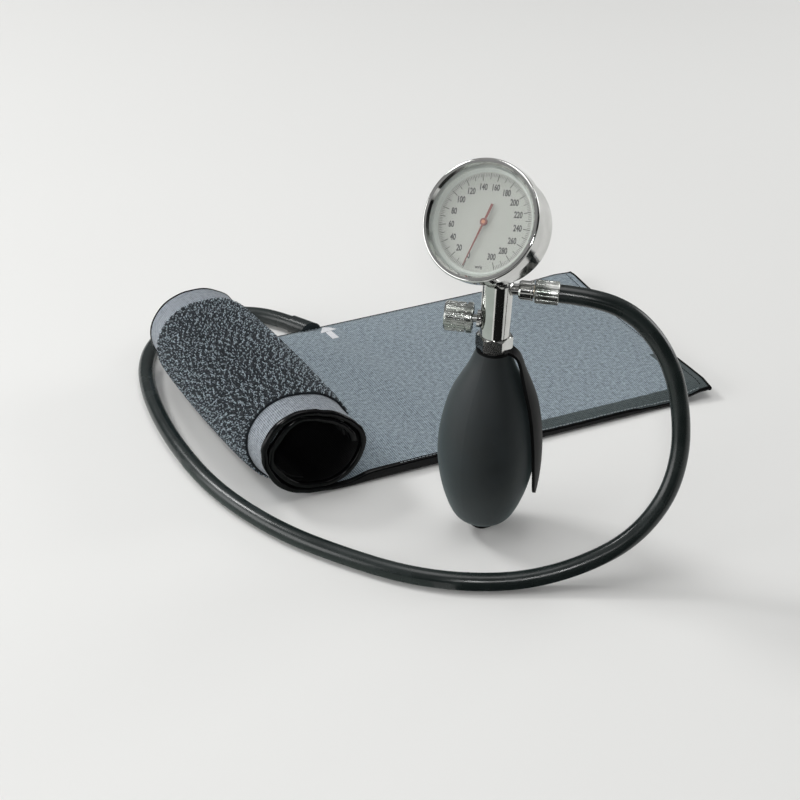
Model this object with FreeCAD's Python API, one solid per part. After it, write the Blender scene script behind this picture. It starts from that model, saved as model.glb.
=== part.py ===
# Palm-type aneroid sphygmomanometer: a dial gauge on a chromed valve body with a release screw, a rubber
# bulb with a palm spoon, one hose, and a cuff whose closing flap is rolled up. All sizes are millimetres.
#
# The model frame has +Z up, +X along the cuff towards its flat end and +Y across the cuff, away from the
# bulb. Its origin is the centre of the flat foot under the bulb, which stands on the same table as the cuff.
import FreeCAD
import Part
import math
import os

V = FreeCAD.Vector
UP = V(0, 0, 1)
ORIGIN = V(0, 0, 0)
FULL_TURN = 360.0

# Stance of the bulb unit: where its hose connector points, seen from above, and how far it leans that way.
unit_heading = -32.0
unit_lean = 2.1

# Bulb, by height above the foot along the unit's own axis.
bulb_outline = [(7.0, 4.4), (16.0, 11.0), (23.2, 31.0), (25.4, 54.0), (21.3, 79.0), (12.6, 98.0), (8.8, 108.0)]
bulb_inside = [(6.2, 101.0), (10.4, 96.0), (19.0, 78.2), (23.2, 54.0), (21.0, 32.0), (14.3, 13.4), (4.6, 9.0)]
bulb_bottom = 4.4
bulb_top = 108.0

# End valve under the bulb. Its ball is lifted by the air that the bulb draws in.
foot_radius = 4.2
foot_height = 2.4
end_flange_radius = 7.0
end_spigot_radius = 4.6
end_spigot_top = 12.0
end_chamber_radius = 3.2
end_seat_bottom = 5.6
end_seat_top = 7.0
inlet_passage = 1.2
inlet_ball_radius = 2.4
inlet_ball_height = 7.74
inlet_ball_lift = 1.0
cage_bottom = 11.2
cage_top = 13.2

# Valve body and what stands on it, by the same height.
body_radius = 7.65
body_bottom = 117.2
body_top = 147.5
body_thread_radius = 5.4
neck_spigot_radius = 6.2
neck_spigot_bottom = 99.0
outlet_chamber_radius = 3.6
outlet_chamber_top = 105.0
outlet_seat_top = 101.2
outlet_disc_radius = 2.8
outlet_disc_thickness = 0.8
outlet_disc_gap = 0.05
air_passage = 1.6
stem_socket_radius = 3.0
stem_socket_bottom = 141.0
collar_flats = 16.4
collar_bottom = 109.5
collar_chamfer = 0.9

# Palm spoon: a pressed plate that hugs the bulb on the hose side.
spoon_thickness = 1.4
spoon_ring_radius = 9.0
spoon_ring_bottom = 108.0
spoon_side = [(9.0, 109.5), (13.3, 106.6), (16.6, 99.4), (23.2, 83.5), (27.2, 67.4), (28.7, 52.0),
              (28.5, 35.0), (26.8, 21.0)]
spoon_outline = [(4.5, 110.5), (4.6, 101.0), (8.5, 89.0), (12.0, 72.0), (12.6, 54.0), (10.0, 36.0), (5.0, 27.2),
                 (0.0, 25.6)]

# Release valve, by distance from the unit's axis on the side away from the hose.
release_height = 125.0
release_seat = 3.6
release_seat_hole = 1.0
release_thread_radius = 3.3
release_flange_radius = 4.4
release_flange_end = 9.2
release_chamber_radius = 2.6
release_chamber_end = 6.6
plug_radius = 1.8
plug_start = 3.65
plug_end = 5.0
spindle_radius = 2.0
spindle_start = 5.05
spindle_end = 23.0
running_gap = 0.05
knob_start = 11.3
knob_end = 25.6
knob_radius = 7.6
knob_rim_radius = 7.8
knob_rim_end = 14.2
knob_groove_radius = 6.7
knob_groove_end = 15.0
knob_cup_radius = 6.2
knob_cup_end = 15.5
knob_band_split = 19.0
knob_band_gap = 0.6
knob_flutes = 30
knob_flute_radius = 0.35

# Hose connector, by distance from the unit's axis on the hose side.
port_height = 143.6
port_thread_radius = 3.2
port_thread_start = 4.2
port_neck_radius = 2.9
port_neck_start = 7.4
port_barrel_start = 10.4
port_barrel_radius = 4.9
port_lip_radius = 5.2
port_end = 17.8
port_bore = 1.3
taper_start = 11.5
taper_small = 2.6
taper_large = 3.2
nut_start = 18.3
nut_end = 30.35
nut_radius = 6.0
nut_flutes = 14
nut_flute_radius = 0.8
hose_start = 30.4
barb_radius = 2.2
barb_end = 38.0
barb_bore = 1.2

# Gauge. Its own frame has +Z out of the dial, +Y towards the top of the dial and its origin on the dial.
gauge_centre = V(-8.2, -6.0, 181.8)
gauge_turn = 24.5
gauge_tilt = 34.0
gauge_roll = 12.5
case_radius = 28.0
case_wall = 1.5
case_back = -20.0
case_floor = -18.4
case_rim = 2.8
case_fillet = 3.0
bezel_radius = 30.4
bezel_back = -2.0
bezel_shoulder = 5.2
bezel_front = 6.4
bezel_face_outer = 29.5
bezel_face_inner = 28.2
bezel_opening = 27.2
crystal_radius = 27.8
crystal_bottom = 3.4
crystal_top = 4.9
gasket_inner = 26.0
spacer_inner = 24.6
spacer_lip = 26.0
dial_radius = 26.4
dial_thickness = 0.8
dial_hole = 1.2
stem_radius = 4.2
stem_flange_radius = 5.4
stem_flange_top = 149.6
stem_top = 168.0
stem_bore = 1.3
stem_bore_length = 25.3

# Movement, in the gauge's frame. The sector gear drives the pinion of the pointer.
gear_module = 0.22
pinion_teeth = 12
sector_teeth = 108
sector_teeth_cut = 15
tooth_thinning = 0.05
pointer_sweep = 320.0
pointer_rest = 20.0
sector_swing = pointer_sweep * pinion_teeth / sector_teeth
sector_pivot = gear_module * (pinion_teeth + sector_teeth) / 2
sector_bottom = -5.9
sector_top = -4.9
pinion_bottom = -6.4
pinion_top = -4.4
arbor_radius = 0.5
front_plate_bottom = -3.2
front_plate_top = -2.2
back_plate_bottom = -9.2
back_plate_top = -8.2
back_plate_radius = 22.5
pillar_places = [(-5.2, 3.6), (-5.2, -3.6), (sector_pivot, 5.6), (sector_pivot, -5.6)]
post_radius = 1.5
post_circle = 20.0
screw_head_radius = 1.4
rocker_height = -10.8
rocker_arm = 2.4
rocker_rod = 5.4
rocker_ball_radius = 0.5
rod_radius = 0.3
tail_length = 5.2
stud_radius = 0.6
stud_flange_radius = 1.2
stud_gap = 0.15
stud_travel = 2 * rocker_arm * math.sin(math.radians(sector_swing / 2))
capsule_radius = 16.0
capsule_bottom = -16.4
capsule_top = -13.0
capsule_wall = 0.35
capsule_waves = 5
pointer_bottom = 1.0
pointer_top = 1.4
pointer_length = 23.2
pointer_tail = 9.5
pointer_hub = 1.8
pointer_tail_half = 0.6
pointer_middle_half = 0.5
pointer_tip_half = 0.15

# Hose. The route's corners are joined by arcs that are tangent to both runs.
hose_radius = 4.7
hose_bore = 2.3
arc_share = 0.45
hose_straight = 12.0
hose_corners = [
    (57.0, -35.0, 137.0), (69.0, -44.0, 125.5), (76.5, -54.5, 108.0), (78.0, -63.0, 87.0), (75.0, -70.5, 65.0),
    (65.0, -75.0, 43.5), (46.0, -74.5, 24.0), (20.5, -67.5, 11.0), (-6.5, -59.0, 4.7), (-36.0, -46.5, 4.7),
    (-60.0, -27.5, 4.7), (-80.0, -2.5, 4.7), (-98.0, 24.0, 4.7), (-111.5, 53.5, 4.7), (-121.0, 86.0, 4.7),
    (-125.0, 120.5, 4.7), (-125.5, 155.0, 4.7), (-122.5, 190.0, 4.7), (-115.0, 221.5, 4.7), (-101.5, 244.5, 4.7),
    (-81.5, 258.5, 4.7), (-59.5, 262.0, 4.7), (-39.5, 256.5, 4.9), (-25.0, 244.5, 5.5)]
hose_end = (-17.0, 231.0, 5.5)

# Cuff. Its section changes evenly from the near edge to the far edge, because the flap is rolled up a
# little askew and tighter at the far side. The rolled part is made of half-turns with short flats between.
cuff_near = 60.0
cuff_width = 161.0
near_flat_end = 179.0
far_flat_end = 169.5
near_roll = -74.0
far_roll = -87.4
near_roll_radius = 26.5
far_roll_radius = 24.7
roll_flat = 6.5
roll_step = 1.5
last_turn_angle = 90.0
sheet = 0.7
interlining = 1.0
bladder_thickness = 3.0
bladder_start = 32.0
bladder_end = 18.0
bladder_margin = 8.0
bladder_corner = 10.0
pile_thickness = 1.2
pile_margin = 19.5
pile_flat_reach = 215.0
pile_end_angle = 50.0
hook_thickness = 1.0
ramp_start = 28.0
ramp_end = 19.0
binding_width = 2.5
binding_proud = 0.2
neck_radius = 5.4
neck_length = 24.0
neck_wall = 1.0
neck_passage = 1.0
tongue_half_width = 7.0


def cylinder(radius, bottom, top, x=0.0, y=0.0):
    """A solid cylinder along Z."""
    return Part.makeCylinder(radius, top - bottom, V(x, y, bottom), UP)


def ring(outer, inner, bottom, top, x=0.0, y=0.0):
    """A plain ring along Z."""
    return cylinder(outer, bottom, top, x, y).cut(cylinder(inner, bottom, top, x, y))


def turned(outline):
    """A solid turned about Z from a closed outline of (radius, height) points."""
    corners = [V(radius, 0, height) for radius, height in outline]
    face = Part.Face(Part.makePolygon(corners + corners[:1]))
    return face.revolve(ORIGIN, UP, FULL_TURN)


def curve(points):
    """A smooth edge through the given points."""
    spline = Part.BSplineCurve()
    spline.interpolate(points)
    return spline.toShape()


def box(x0, x1, y0, y1, z0, z1):
    """A box between two corners."""
    return Part.makeBox(x1 - x0, y1 - y0, z1 - z0, V(x0, y0, z0))


def around(shape, count):
    """The shape repeated evenly about Z."""
    copies = []
    for number in range(count):
        copy = shape.copy()
        copy.rotate(ORIGIN, UP, FULL_TURN * number / count)
        copies.append(copy)
    return Part.makeCompound(copies)


def placed(shape, place):
    """A copy of the shape moved from its own frame to the model frame."""
    copy = shape.copy()
    copy.Placement = place.multiply(copy.Placement)
    return copy


def rotation(axis, angle):
    """A placement that turns by an angle in degrees about an axis through the origin."""
    return FreeCAD.Placement(ORIGIN, FreeCAD.Rotation(axis, angle))


def shift(vector):
    """A placement that only moves."""
    return FreeCAD.Placement(vector, FreeCAD.Rotation())


unit_place = rotation(UP, unit_heading).multiply(rotation(V(0, 1, 0), unit_lean))
release_place = unit_place.multiply(shift(V(0, 0, release_height))).multiply(rotation(V(0, 1, 0), -90))
port_place = unit_place.multiply(shift(V(0, 0, port_height))).multiply(rotation(V(0, 1, 0), 90))
gauge_stance = rotation(UP, -gauge_turn).multiply(rotation(V(1, 0, 0), 90 - gauge_tilt))
gauge_in_unit = shift(gauge_centre).multiply(gauge_stance).multiply(rotation(UP, gauge_roll))
gauge_place = unit_place.multiply(gauge_in_unit)


# ---------------------------------------------------------------- bulb and its end valve

def make_bulb():
    """The hollow rubber bulb, with a neck at each end."""
    outside = curve([V(radius, 0, height) for radius, height in bulb_outline])
    inside = curve([V(radius, 0, height) for radius, height in bulb_inside])
    top_outer = V(bulb_outline[-1][0], 0, bulb_top)
    top_inner = V(bulb_inside[0][0], 0, bulb_top)
    bottom_inner = V(bulb_inside[-1][0], 0, bulb_bottom)
    bottom_outer = V(bulb_outline[0][0], 0, bulb_bottom)
    edges = [outside,
             Part.makeLine(top_outer, top_inner),
             Part.makeLine(top_inner, V(bulb_inside[0][0], 0, bulb_inside[0][1])),
             inside,
             Part.makeLine(V(bulb_inside[-1][0], 0, bulb_inside[-1][1]), bottom_inner),
             Part.makeLine(bottom_inner, bottom_outer)]
    face = Part.Face(Part.Wire(edges))
    return placed(face.revolve(ORIGIN, UP, FULL_TURN), unit_place)


def make_inlet_body():
    """The end valve's body. Its foot is cut flat on the table, and air enters through its side holes."""
    body = turned([(0, -0.5), (foot_radius, -0.5), (foot_radius, foot_height), (end_flange_radius, foot_height),
                   (end_flange_radius, bulb_bottom), (end_spigot_radius, bulb_bottom),
                   (end_spigot_radius, end_spigot_top), (end_chamber_radius, end_spigot_top),
                   (end_chamber_radius, end_seat_top), (inlet_passage, end_seat_bottom),
                   (inlet_passage, 1.4), (0, 1.4)])
    for direction in (V(1, 0, 0), V(0, 1, 0)):
        start = direction * -end_flange_radius + V(0, 0, 1.5)
        body = body.cut(Part.makeCylinder(0.6, 2 * end_flange_radius, start, direction))
    below_table = box(-20, 20, -20, 20, -10, 0)
    return placed(body, unit_place).cut(below_table)


def make_inlet_ball():
    """The ball that closes the inlet when the bulb is squeezed."""
    return placed(Part.makeSphere(inlet_ball_radius, V(0, 0, inlet_ball_height)), unit_place)


def make_inlet_cage():
    """The perforated cap that keeps the ball in its chamber."""
    cage = cylinder(end_chamber_radius, cage_bottom, end_spigot_top)
    cage = cage.fuse(cylinder(end_spigot_radius, end_spigot_top, cage_top))
    hole = cylinder(0.7, cage_bottom, cage_top, 1.9)
    return placed(cage.cut(around(hole, 3)), unit_place)


# ---------------------------------------------------------------- valve body, collar, spoon, outlet valve

def make_valve_body():
    """The chromed body: the spigot in the bulb's neck, a thread, and the barrel with its air passages."""
    body = turned([(0, neck_spigot_bottom), (neck_spigot_radius, neck_spigot_bottom),
                   (neck_spigot_radius, bulb_top), (body_thread_radius, bulb_top),
                   (body_thread_radius, body_bottom), (body_radius, body_bottom),
                   (body_radius, body_top - 0.6), (body_radius - 0.6, body_top), (0, body_top)])
    body = body.cut(cylinder(outlet_chamber_radius, neck_spigot_bottom, outlet_chamber_top))
    body = body.cut(cylinder(air_passage, outlet_chamber_top, stem_socket_bottom))
    body = body.cut(cylinder(stem_socket_radius, stem_socket_bottom, body_top))
    release_bore = cylinder(release_thread_radius, release_seat, body_radius + 1)
    release_bore = release_bore.fuse(cylinder(release_seat_hole, 0, release_seat))
    port_hole = cylinder(port_thread_radius, port_thread_start, body_radius + 1)
    port_hole = port_hole.fuse(cylinder(port_bore, 0, port_thread_start))
    body = placed(body, unit_place)
    return body.cut(placed(release_bore, release_place)).cut(placed(port_hole, port_place))


def make_bulb_collar():
    """The hexagonal collar that is screwed down on the bulb's neck and the spoon's ring."""
    corner = collar_flats / 2 / math.cos(math.radians(30))
    corners = [V(corner * math.cos(math.radians(60 * k)), corner * math.sin(math.radians(60 * k)), collar_bottom)
               for k in range(6)]
    hexagon = Part.Face(Part.makePolygon(corners + corners[:1])).extrude(V(0, 0, body_bottom - collar_bottom))
    flat = collar_flats / 2
    chamfered = turned([(0, collar_bottom), (flat, collar_bottom), (corner, collar_bottom + collar_chamfer),
                        (corner, body_bottom - collar_chamfer), (flat, body_bottom), (0, body_bottom)])
    collar = hexagon.common(chamfered).cut(cylinder(body_thread_radius, collar_bottom, body_bottom))
    return placed(collar, unit_place)


def make_palm_spoon():
    """The spoon: a ring round the neck thread and a blade that follows the bulb at a small distance."""
    inner_side = []
    for index, (radius, height) in enumerate(spoon_side):
        before = spoon_side[max(index - 1, 0)]
        after = spoon_side[min(index + 1, len(spoon_side) - 1)]
        along = V(after[0] - before[0], 0, after[1] - before[1]).normalize()
        inward = V(along.z, 0, -along.x)
        inner_side.append(V(radius, 0, height) + inward * spoon_thickness)
    outer_side = [V(radius, 0, height) for radius, height in spoon_side]
    section = Part.Wire([curve(outer_side), Part.makeLine(outer_side[-1], inner_side[-1]),
                         curve(inner_side[::-1]), Part.makeLine(inner_side[0], outer_side[0])])
    bell = Part.Face(section).revolve(ORIGIN, UP, 80)
    bell.rotate(ORIGIN, UP, -40)
    right = [V(0, y, z) for y, z in spoon_outline]
    left = [V(0, -y, z) for y, z in spoon_outline[-2::-1]]
    outline = Part.Wire([curve(right + left), Part.makeLine(left[-1], right[0])])
    blade = bell.common(Part.Face(outline).extrude(V(40, 0, 0)))
    top = spoon_side[0][1]
    plate = cylinder(spoon_ring_radius, spoon_ring_bottom, top)
    plate = plate.fuse(box(0, 9.4, -4.5, 4.5, spoon_ring_bottom, top))
    spoon = plate.fuse(blade).cut(cylinder(body_thread_radius + running_gap, spoon_ring_bottom, top))
    return placed(spoon.removeSplitter(), unit_place)


def make_outlet_seat():
    """The seat of the outlet valve, pressed into the spigot."""
    return placed(ring(outlet_chamber_radius, 1.2, neck_spigot_bottom, outlet_seat_top), unit_place)


def make_outlet_disc():
    """The rubber disc that lets air up to the cuff and not back."""
    bottom = outlet_seat_top + outlet_disc_gap
    return placed(cylinder(outlet_disc_radius, bottom, bottom + outlet_disc_thickness), unit_place)


# ---------------------------------------------------------------- release valve

def make_release_bushing():
    """The bushing screwed into the body, with the chamber of the plug and the bore of the spindle."""
    bushing = cylinder(release_thread_radius, release_seat, body_radius)
    bushing = bushing.fuse(cylinder(release_flange_radius, body_radius, release_flange_end))
    bushing = bushing.cut(cylinder(release_chamber_radius, release_seat, release_chamber_end))
    bushing = bushing.cut(cylinder(spindle_radius + running_gap, release_chamber_end, release_flange_end))
    return placed(bushing, release_place)


def make_release_plug():
    """The soft plug that closes the air passage."""
    return placed(cylinder(plug_radius, plug_start, plug_end), release_place)


def make_release_spindle():
    """The threaded spindle that presses on the plug."""
    return placed(cylinder(spindle_radius, spindle_start, spindle_end), release_place)


def make_release_knob():
    """The knurled knob: two fluted bands, a groove and a hollow rim towards the body."""
    knob = turned([(0, knob_end), (knob_radius - 0.9, knob_end), (knob_radius, knob_end - 0.9),
                   (knob_radius, knob_band_split + knob_band_gap), (knob_radius - 0.5, knob_band_split + knob_band_gap),
                   (knob_radius - 0.5, knob_band_split), (knob_radius, knob_band_split),
                   (knob_radius, knob_groove_end), (knob_groove_radius, knob_groove_end),
                   (knob_groove_radius, knob_rim_end), (knob_rim_radius, knob_rim_end),
                   (knob_rim_radius, knob_start + 0.5), (knob_rim_radius - 0.5, knob_start),
                   (knob_cup_radius, knob_start), (knob_cup_radius, knob_cup_end), (0, knob_cup_end)])
    flute = cylinder(knob_flute_radius, knob_groove_end, knob_end, knob_radius + 0.1)
    knob = knob.cut(around(flute, knob_flutes))
    return placed(knob.cut(cylinder(spindle_radius, knob_start, spindle_end)), release_place)


# ---------------------------------------------------------------- hose connector

def make_tube_connector():
    """The polished connector on the body, with the tapered socket that the hose's barb fits."""
    body = turned([(0, port_thread_start), (port_thread_radius, port_thread_start),
                   (port_thread_radius, port_neck_start), (port_neck_radius, port_neck_start),
                   (port_neck_radius, port_barrel_start), (port_barrel_radius - 0.6, port_barrel_start),
                   (port_barrel_radius, port_barrel_start + 0.9), (port_barrel_radius, port_end - 1.3),
                   (port_lip_radius, port_end - 1.1), (port_lip_radius, port_end), (taper_large, port_end),
                   (taper_small, taper_start), (port_bore, taper_start), (port_bore, port_thread_start + 1),
                   (0, port_thread_start + 1)])
    bore = cylinder(port_bore, port_thread_start, port_thread_start + 1)
    return placed(body.cut(bore), port_place)


def make_hose_barb():
    """The tapered nipple between the connector's socket and the hose's bore."""
    gap = running_gap
    body = turned([(barb_bore, taper_start + 0.3), (taper_small - gap, taper_start + 0.3),
                   (taper_large - gap, port_end), (taper_large, port_end), (taper_large, port_end + 1.2),
                   (barb_radius, port_end + 1.2), (barb_radius, barb_end - 0.8), (barb_radius - 0.4, barb_end),
                   (barb_bore, barb_end)])
    return placed(body, port_place)


def make_hose_nut():
    """The fluted nut that locks the hose's barb in the connector."""
    nut = turned([(barb_radius + running_gap, nut_start + 0.8), (taper_large + running_gap, nut_start + 0.8),
                  (taper_large + running_gap, nut_start), (nut_radius - 0.6, nut_start),
                  (nut_radius, nut_start + 0.6), (nut_radius, nut_end - 0.6), (nut_radius - 0.6, nut_end),
                  (barb_radius + running_gap, nut_end)])
    relief = cylinder(taper_large + running_gap, nut_start, port_end + 1.2 + running_gap)
    flute = cylinder(nut_flute_radius, nut_start + 0.9, nut_end, nut_radius + 0.3)
    return placed(nut.cut(relief).cut(around(flute, nut_flutes)), port_place)


# ---------------------------------------------------------------- gauge: case, glass and dial

def case_envelope():
    """The outside of the gauge's case as a plain solid."""
    solid = cylinder(case_radius, case_back, case_rim)
    back_edges = [edge for edge in solid.Edges
                  if isinstance(edge.Curve, Part.Circle) and abs(edge.Curve.Center.z - case_back) < 0.01]
    return solid.makeFillet(case_fillet, back_edges)


def stem_passage():
    """The air passage up the stem, through the case's back and into the capsule's base."""
    return placed(cylinder(stem_bore, stem_socket_bottom, stem_socket_bottom + stem_bore_length), unit_place)


def make_gauge_stem():
    """The stem: a spigot in the valve body, a flange, and a shank coped to the case's back."""
    stem = cylinder(stem_socket_radius, stem_socket_bottom, body_top)
    stem = stem.fuse(cylinder(stem_flange_radius, body_top, stem_flange_top))
    stem = stem.fuse(cylinder(stem_radius, stem_flange_top, stem_top))
    stem = placed(stem, unit_place).cut(placed(case_envelope(), gauge_place))
    side_passage = placed(cylinder(port_bore, 0, port_thread_start), port_place)
    return stem.cut(stem_passage()).cut(side_passage)


def make_gauge_case():
    """The drawn case, open to the front."""
    case = case_envelope().cut(cylinder(case_radius - case_wall, case_floor, case_rim))
    return placed(case, gauge_place).cut(stem_passage())


def make_bezel_ring():
    """The bezel that is pressed over the case's rim and holds the crystal, with a flat face and a rounded edge."""
    corners = [(bezel_face_outer, bezel_front), (bezel_face_inner, bezel_front), (bezel_opening, crystal_top),
               (crystal_radius, crystal_top), (crystal_radius, case_rim), (case_radius, case_rim),
               (case_radius, bezel_back), (bezel_radius - 0.4, bezel_back), (bezel_radius, bezel_back + 0.4),
               (bezel_radius, bezel_shoulder)]
    points = [V(radius, 0, height) for radius, height in corners]
    edges = [Part.makeLine(first, second) for first, second in zip(points, points[1:])]
    bend = math.sqrt(0.5)
    crest = V(bezel_face_outer + bend * (bezel_radius - bezel_face_outer), 0,
              bezel_shoulder + bend * (bezel_front - bezel_shoulder))
    edges.append(Part.Arc(points[-1], crest, points[0]).toShape())
    return placed(Part.Face(Part.Wire(edges)).revolve(ORIGIN, UP, FULL_TURN), gauge_place)


def make_crystal():
    """The flat clear crystal."""
    return placed(cylinder(crystal_radius, crystal_bottom, crystal_top), gauge_place)


def make_crystal_gasket():
    """The seal under the crystal's edge."""
    return placed(ring(crystal_radius, gasket_inner, case_rim, crystal_bottom), gauge_place)


def make_dial_spacer():
    """The sloping ring between the dial and the seal, which holds the dial down."""
    outer = case_radius - case_wall
    spacer = turned([(outer, 0), (outer, case_rim), (spacer_lip, case_rim), (spacer_inner, 0.4), (spacer_inner, 0)])
    return placed(spacer, gauge_place)


def make_dial_plate():
    """The dial plate."""
    return placed(ring(dial_radius, dial_hole, -dial_thickness, 0), gauge_place)


# ---------------------------------------------------------------- gauge: movement

def involute_half_width(radius, teeth):
    """Half the angle of a gear tooth at a radius, thinned for backlash."""
    pressure = math.radians(20)
    pitch_radius = gear_module * teeth / 2
    base_radius = pitch_radius * math.cos(pressure)
    at_pitch = math.pi / (2 * teeth) - tooth_thinning / pitch_radius
    turn = math.acos(min(base_radius / radius, 1.0))
    return at_pitch + (math.tan(pressure) - pressure) - (math.tan(turn) - turn)


def tooth_points(teeth, centre_angle):
    """One gear tooth as points from its root, over its tip and back to its root."""
    pitch_radius = gear_module * teeth / 2
    root = pitch_radius - 1.25 * gear_module
    tip = pitch_radius + 0.8 * gear_module
    radii = [root, pitch_radius - 0.5 * gear_module, pitch_radius, tip]
    rising = [(radius, centre_angle - involute_half_width(radius, teeth)) for radius in radii]
    falling = [(radius, centre_angle + involute_half_width(radius, teeth)) for radius in reversed(radii)]
    return [V(radius * math.cos(angle), radius * math.sin(angle), 0) for radius, angle in rising + falling]


def make_pinion_arbor():
    """The pointer's arbor with its pinion, which meshes with the sector on the +X side."""
    points = []
    for tooth in range(pinion_teeth):
        points += tooth_points(pinion_teeth, 2 * math.pi * (tooth + 0.5) / pinion_teeth)
    pinion = Part.Face(Part.makePolygon(points + points[:1])).extrude(V(0, 0, pinion_top - pinion_bottom))
    pinion.translate(V(0, 0, pinion_bottom))
    arbor = pinion.fuse(cylinder(arbor_radius, back_plate_bottom, pointer_top))
    arbor.rotate(ORIGIN, UP, pointer_sweep / 2)
    return placed(arbor, gauge_place)


def make_pointer():
    """The pointer, at zero: a slim needle with a round hub and a tail."""
    half = [(pointer_tail, pointer_tail_half), (0, pointer_middle_half), (-pointer_length, pointer_tip_half)]
    corners = [V(width, along, pointer_bottom) for along, width in half]
    corners += [V(-width, along, pointer_bottom) for along, width in reversed(half)]
    blade = Part.Face(Part.makePolygon(corners + corners[:1])).extrude(V(0, 0, pointer_top - pointer_bottom))
    pointer = blade.fuse(cylinder(pointer_hub, pointer_bottom - 0.3, pointer_top + 0.4))
    pointer = pointer.cut(cylinder(arbor_radius, pointer_bottom - 0.3, pointer_top))
    pointer.rotate(ORIGIN, UP, -pointer_rest)
    return placed(pointer, gauge_place)


def make_sector_gear():
    """The sector gear on its arbor, with a forked tail that the rocker's rod moves."""
    pitch = 2 * math.pi / sector_teeth
    half_count = sector_teeth_cut // 2
    points = []
    for tooth in range(-half_count, half_count + 1):
        points += tooth_points(sector_teeth, math.pi + tooth * pitch)
    web_end = points[-1] * 0.9
    web_start = points[0] * 0.9
    points += [web_end, V(0.4, -1.5, 0), V(0.4, 1.5, 0), web_start]
    plate = Part.Face(Part.makePolygon(points + points[:1])).extrude(V(0, 0, sector_top - sector_bottom))
    plate.translate(V(0, 0, sector_bottom))
    plate = plate.fuse(cylinder(1.7, sector_bottom, sector_top))
    plate = plate.fuse(box(0, tail_length + 1.2, -1.3, 1.3, sector_bottom, sector_top))
    slot = rocker_ball_radius + 0.1
    plate = plate.cut(box(tail_length - 1.2, tail_length + 2, -slot, slot, sector_bottom, sector_top))
    window = ring(8.6, 4.4, sector_bottom, sector_top).common(box(-9, 0, -2.4, 2.4, sector_bottom, sector_top))
    plate = plate.cut(window)
    sector = plate.fuse(cylinder(arbor_radius, back_plate_bottom, front_plate_top))
    sector.rotate(ORIGIN, UP, -sector_swing / 2)
    sector.translate(V(sector_pivot, 0, 0))
    return placed(sector, gauge_place)


def make_rocker_shaft():
    """The rocker: a shaft across the movement, a short arm on the stud and a rod in the sector's fork."""
    rod_x = sector_pivot + tail_length
    x_axis = V(1, 0, 0)
    shaft = Part.makeCylinder(arbor_radius, rod_x + 0.8 + 2.6, V(-2.6, 0, 0), x_axis)
    arm = box(-0.6, 0.6, -rocker_arm, 0, -0.4, 0.4)
    tip = Part.makeCylinder(0.4, 1.2, V(-0.6, -rocker_arm, 0), x_axis)
    rod = cylinder(rod_radius, 0, rocker_rod, rod_x)
    ball = Part.makeSphere(rocker_ball_radius, V(rod_x, 0, rocker_rod))
    rocker = shaft.fuse(arm).fuse(tip).fuse(rod).fuse(ball)
    rocker.rotate(ORIGIN, x_axis, sector_swing / 2)
    rocker.translate(V(0, 0, rocker_height))
    return placed(rocker, gauge_place)


def make_hairspring():
    """The flat spiral spring round the arbor, which takes up the play of the teeth."""
    turns = 3.5
    steps = 42
    start_radius = 0.9
    growth = 0.8
    blade = 0.12

    def spiral(offset):
        points = []
        for step in range(steps + 1):
            angle = 2 * math.pi * turns * step / steps
            radius = start_radius + growth * angle / (2 * math.pi) + offset
            points.append(V(radius * math.cos(angle), radius * math.sin(angle), -7.6))
        return points

    inner = spiral(0)
    outer = spiral(blade)
    outline = Part.Wire([curve(outer), Part.makeLine(outer[-1], inner[-1]), curve(inner[::-1]),
                         Part.makeLine(inner[0], outer[0])])
    return placed(Part.Face(outline).extrude(V(0, 0, 0.7)), gauge_place)


def post_places():
    """Where the three posts stand."""
    angles = [math.radians(angle) for angle in (90, 210, 330)]
    return [(post_circle * math.cos(angle), post_circle * math.sin(angle)) for angle in angles]


def make_back_plate():
    """The movement's back plate, with two lugs below it that carry the rocker's shaft."""
    plate = cylinder(back_plate_radius, back_plate_bottom, back_plate_top)
    for lug_x in (-2.0, 14.6):
        plate = plate.fuse(box(lug_x, lug_x + 0.9, -1.6, 1.6, rocker_height - 1.4, back_plate_bottom))
    bearing = Part.makeCylinder(arbor_radius + running_gap, 30, V(-5, 0, rocker_height), V(1, 0, 0))
    rod_x = sector_pivot + tail_length
    plate = plate.cut(bearing).cut(box(rod_x - 0.7, rod_x + 0.7, -1.6, 1.6, back_plate_bottom, back_plate_top))
    for pivot_x in (0.0, sector_pivot):
        plate = plate.cut(cylinder(arbor_radius + running_gap, back_plate_bottom, back_plate_top, pivot_x))
    for x, y in post_places():
        plate = plate.cut(cylinder(0.65, back_plate_bottom, back_plate_top, x, y))
    return placed(plate, gauge_place)


def make_front_plate():
    """The movement's front plate."""
    plate = box(-6.8, sector_pivot + 1.8, -7.2, 7.2, front_plate_bottom, front_plate_top)
    for pivot_x in (0.0, sector_pivot):
        plate = plate.cut(cylinder(arbor_radius + running_gap, front_plate_bottom, front_plate_top, pivot_x))
    return placed(plate, gauge_place)


def make_plate_pillars():
    """The four pillars between the two plates."""
    pillars = [cylinder(0.9, back_plate_top, front_plate_bottom, x, y) for x, y in pillar_places]
    return placed(Part.makeCompound(pillars), gauge_place)


def make_movement_posts():
    """The three posts that carry the movement in the case."""
    posts = []
    for x, y in post_places():
        post = cylinder(post_radius, case_floor, back_plate_bottom, x, y)
        posts.append(post.cut(cylinder(0.6, back_plate_bottom - 3, back_plate_bottom, x, y)))
    return placed(Part.makeCompound(posts), gauge_place)


def make_movement_screws():
    """The three screws that hold the back plate on the posts."""
    screws = []
    for x, y in post_places():
        screw = cylinder(0.6, back_plate_bottom - 2.8, back_plate_top, x, y)
        screw = screw.fuse(cylinder(screw_head_radius, back_plate_top, back_plate_top + 0.8, x, y))
        slot = box(x - 2, x + 2, y - 0.2, y + 0.2, back_plate_top + 0.4, back_plate_top + 0.8)
        screws.append(screw.cut(slot))
    return placed(Part.makeCompound(screws), gauge_place)


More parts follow.
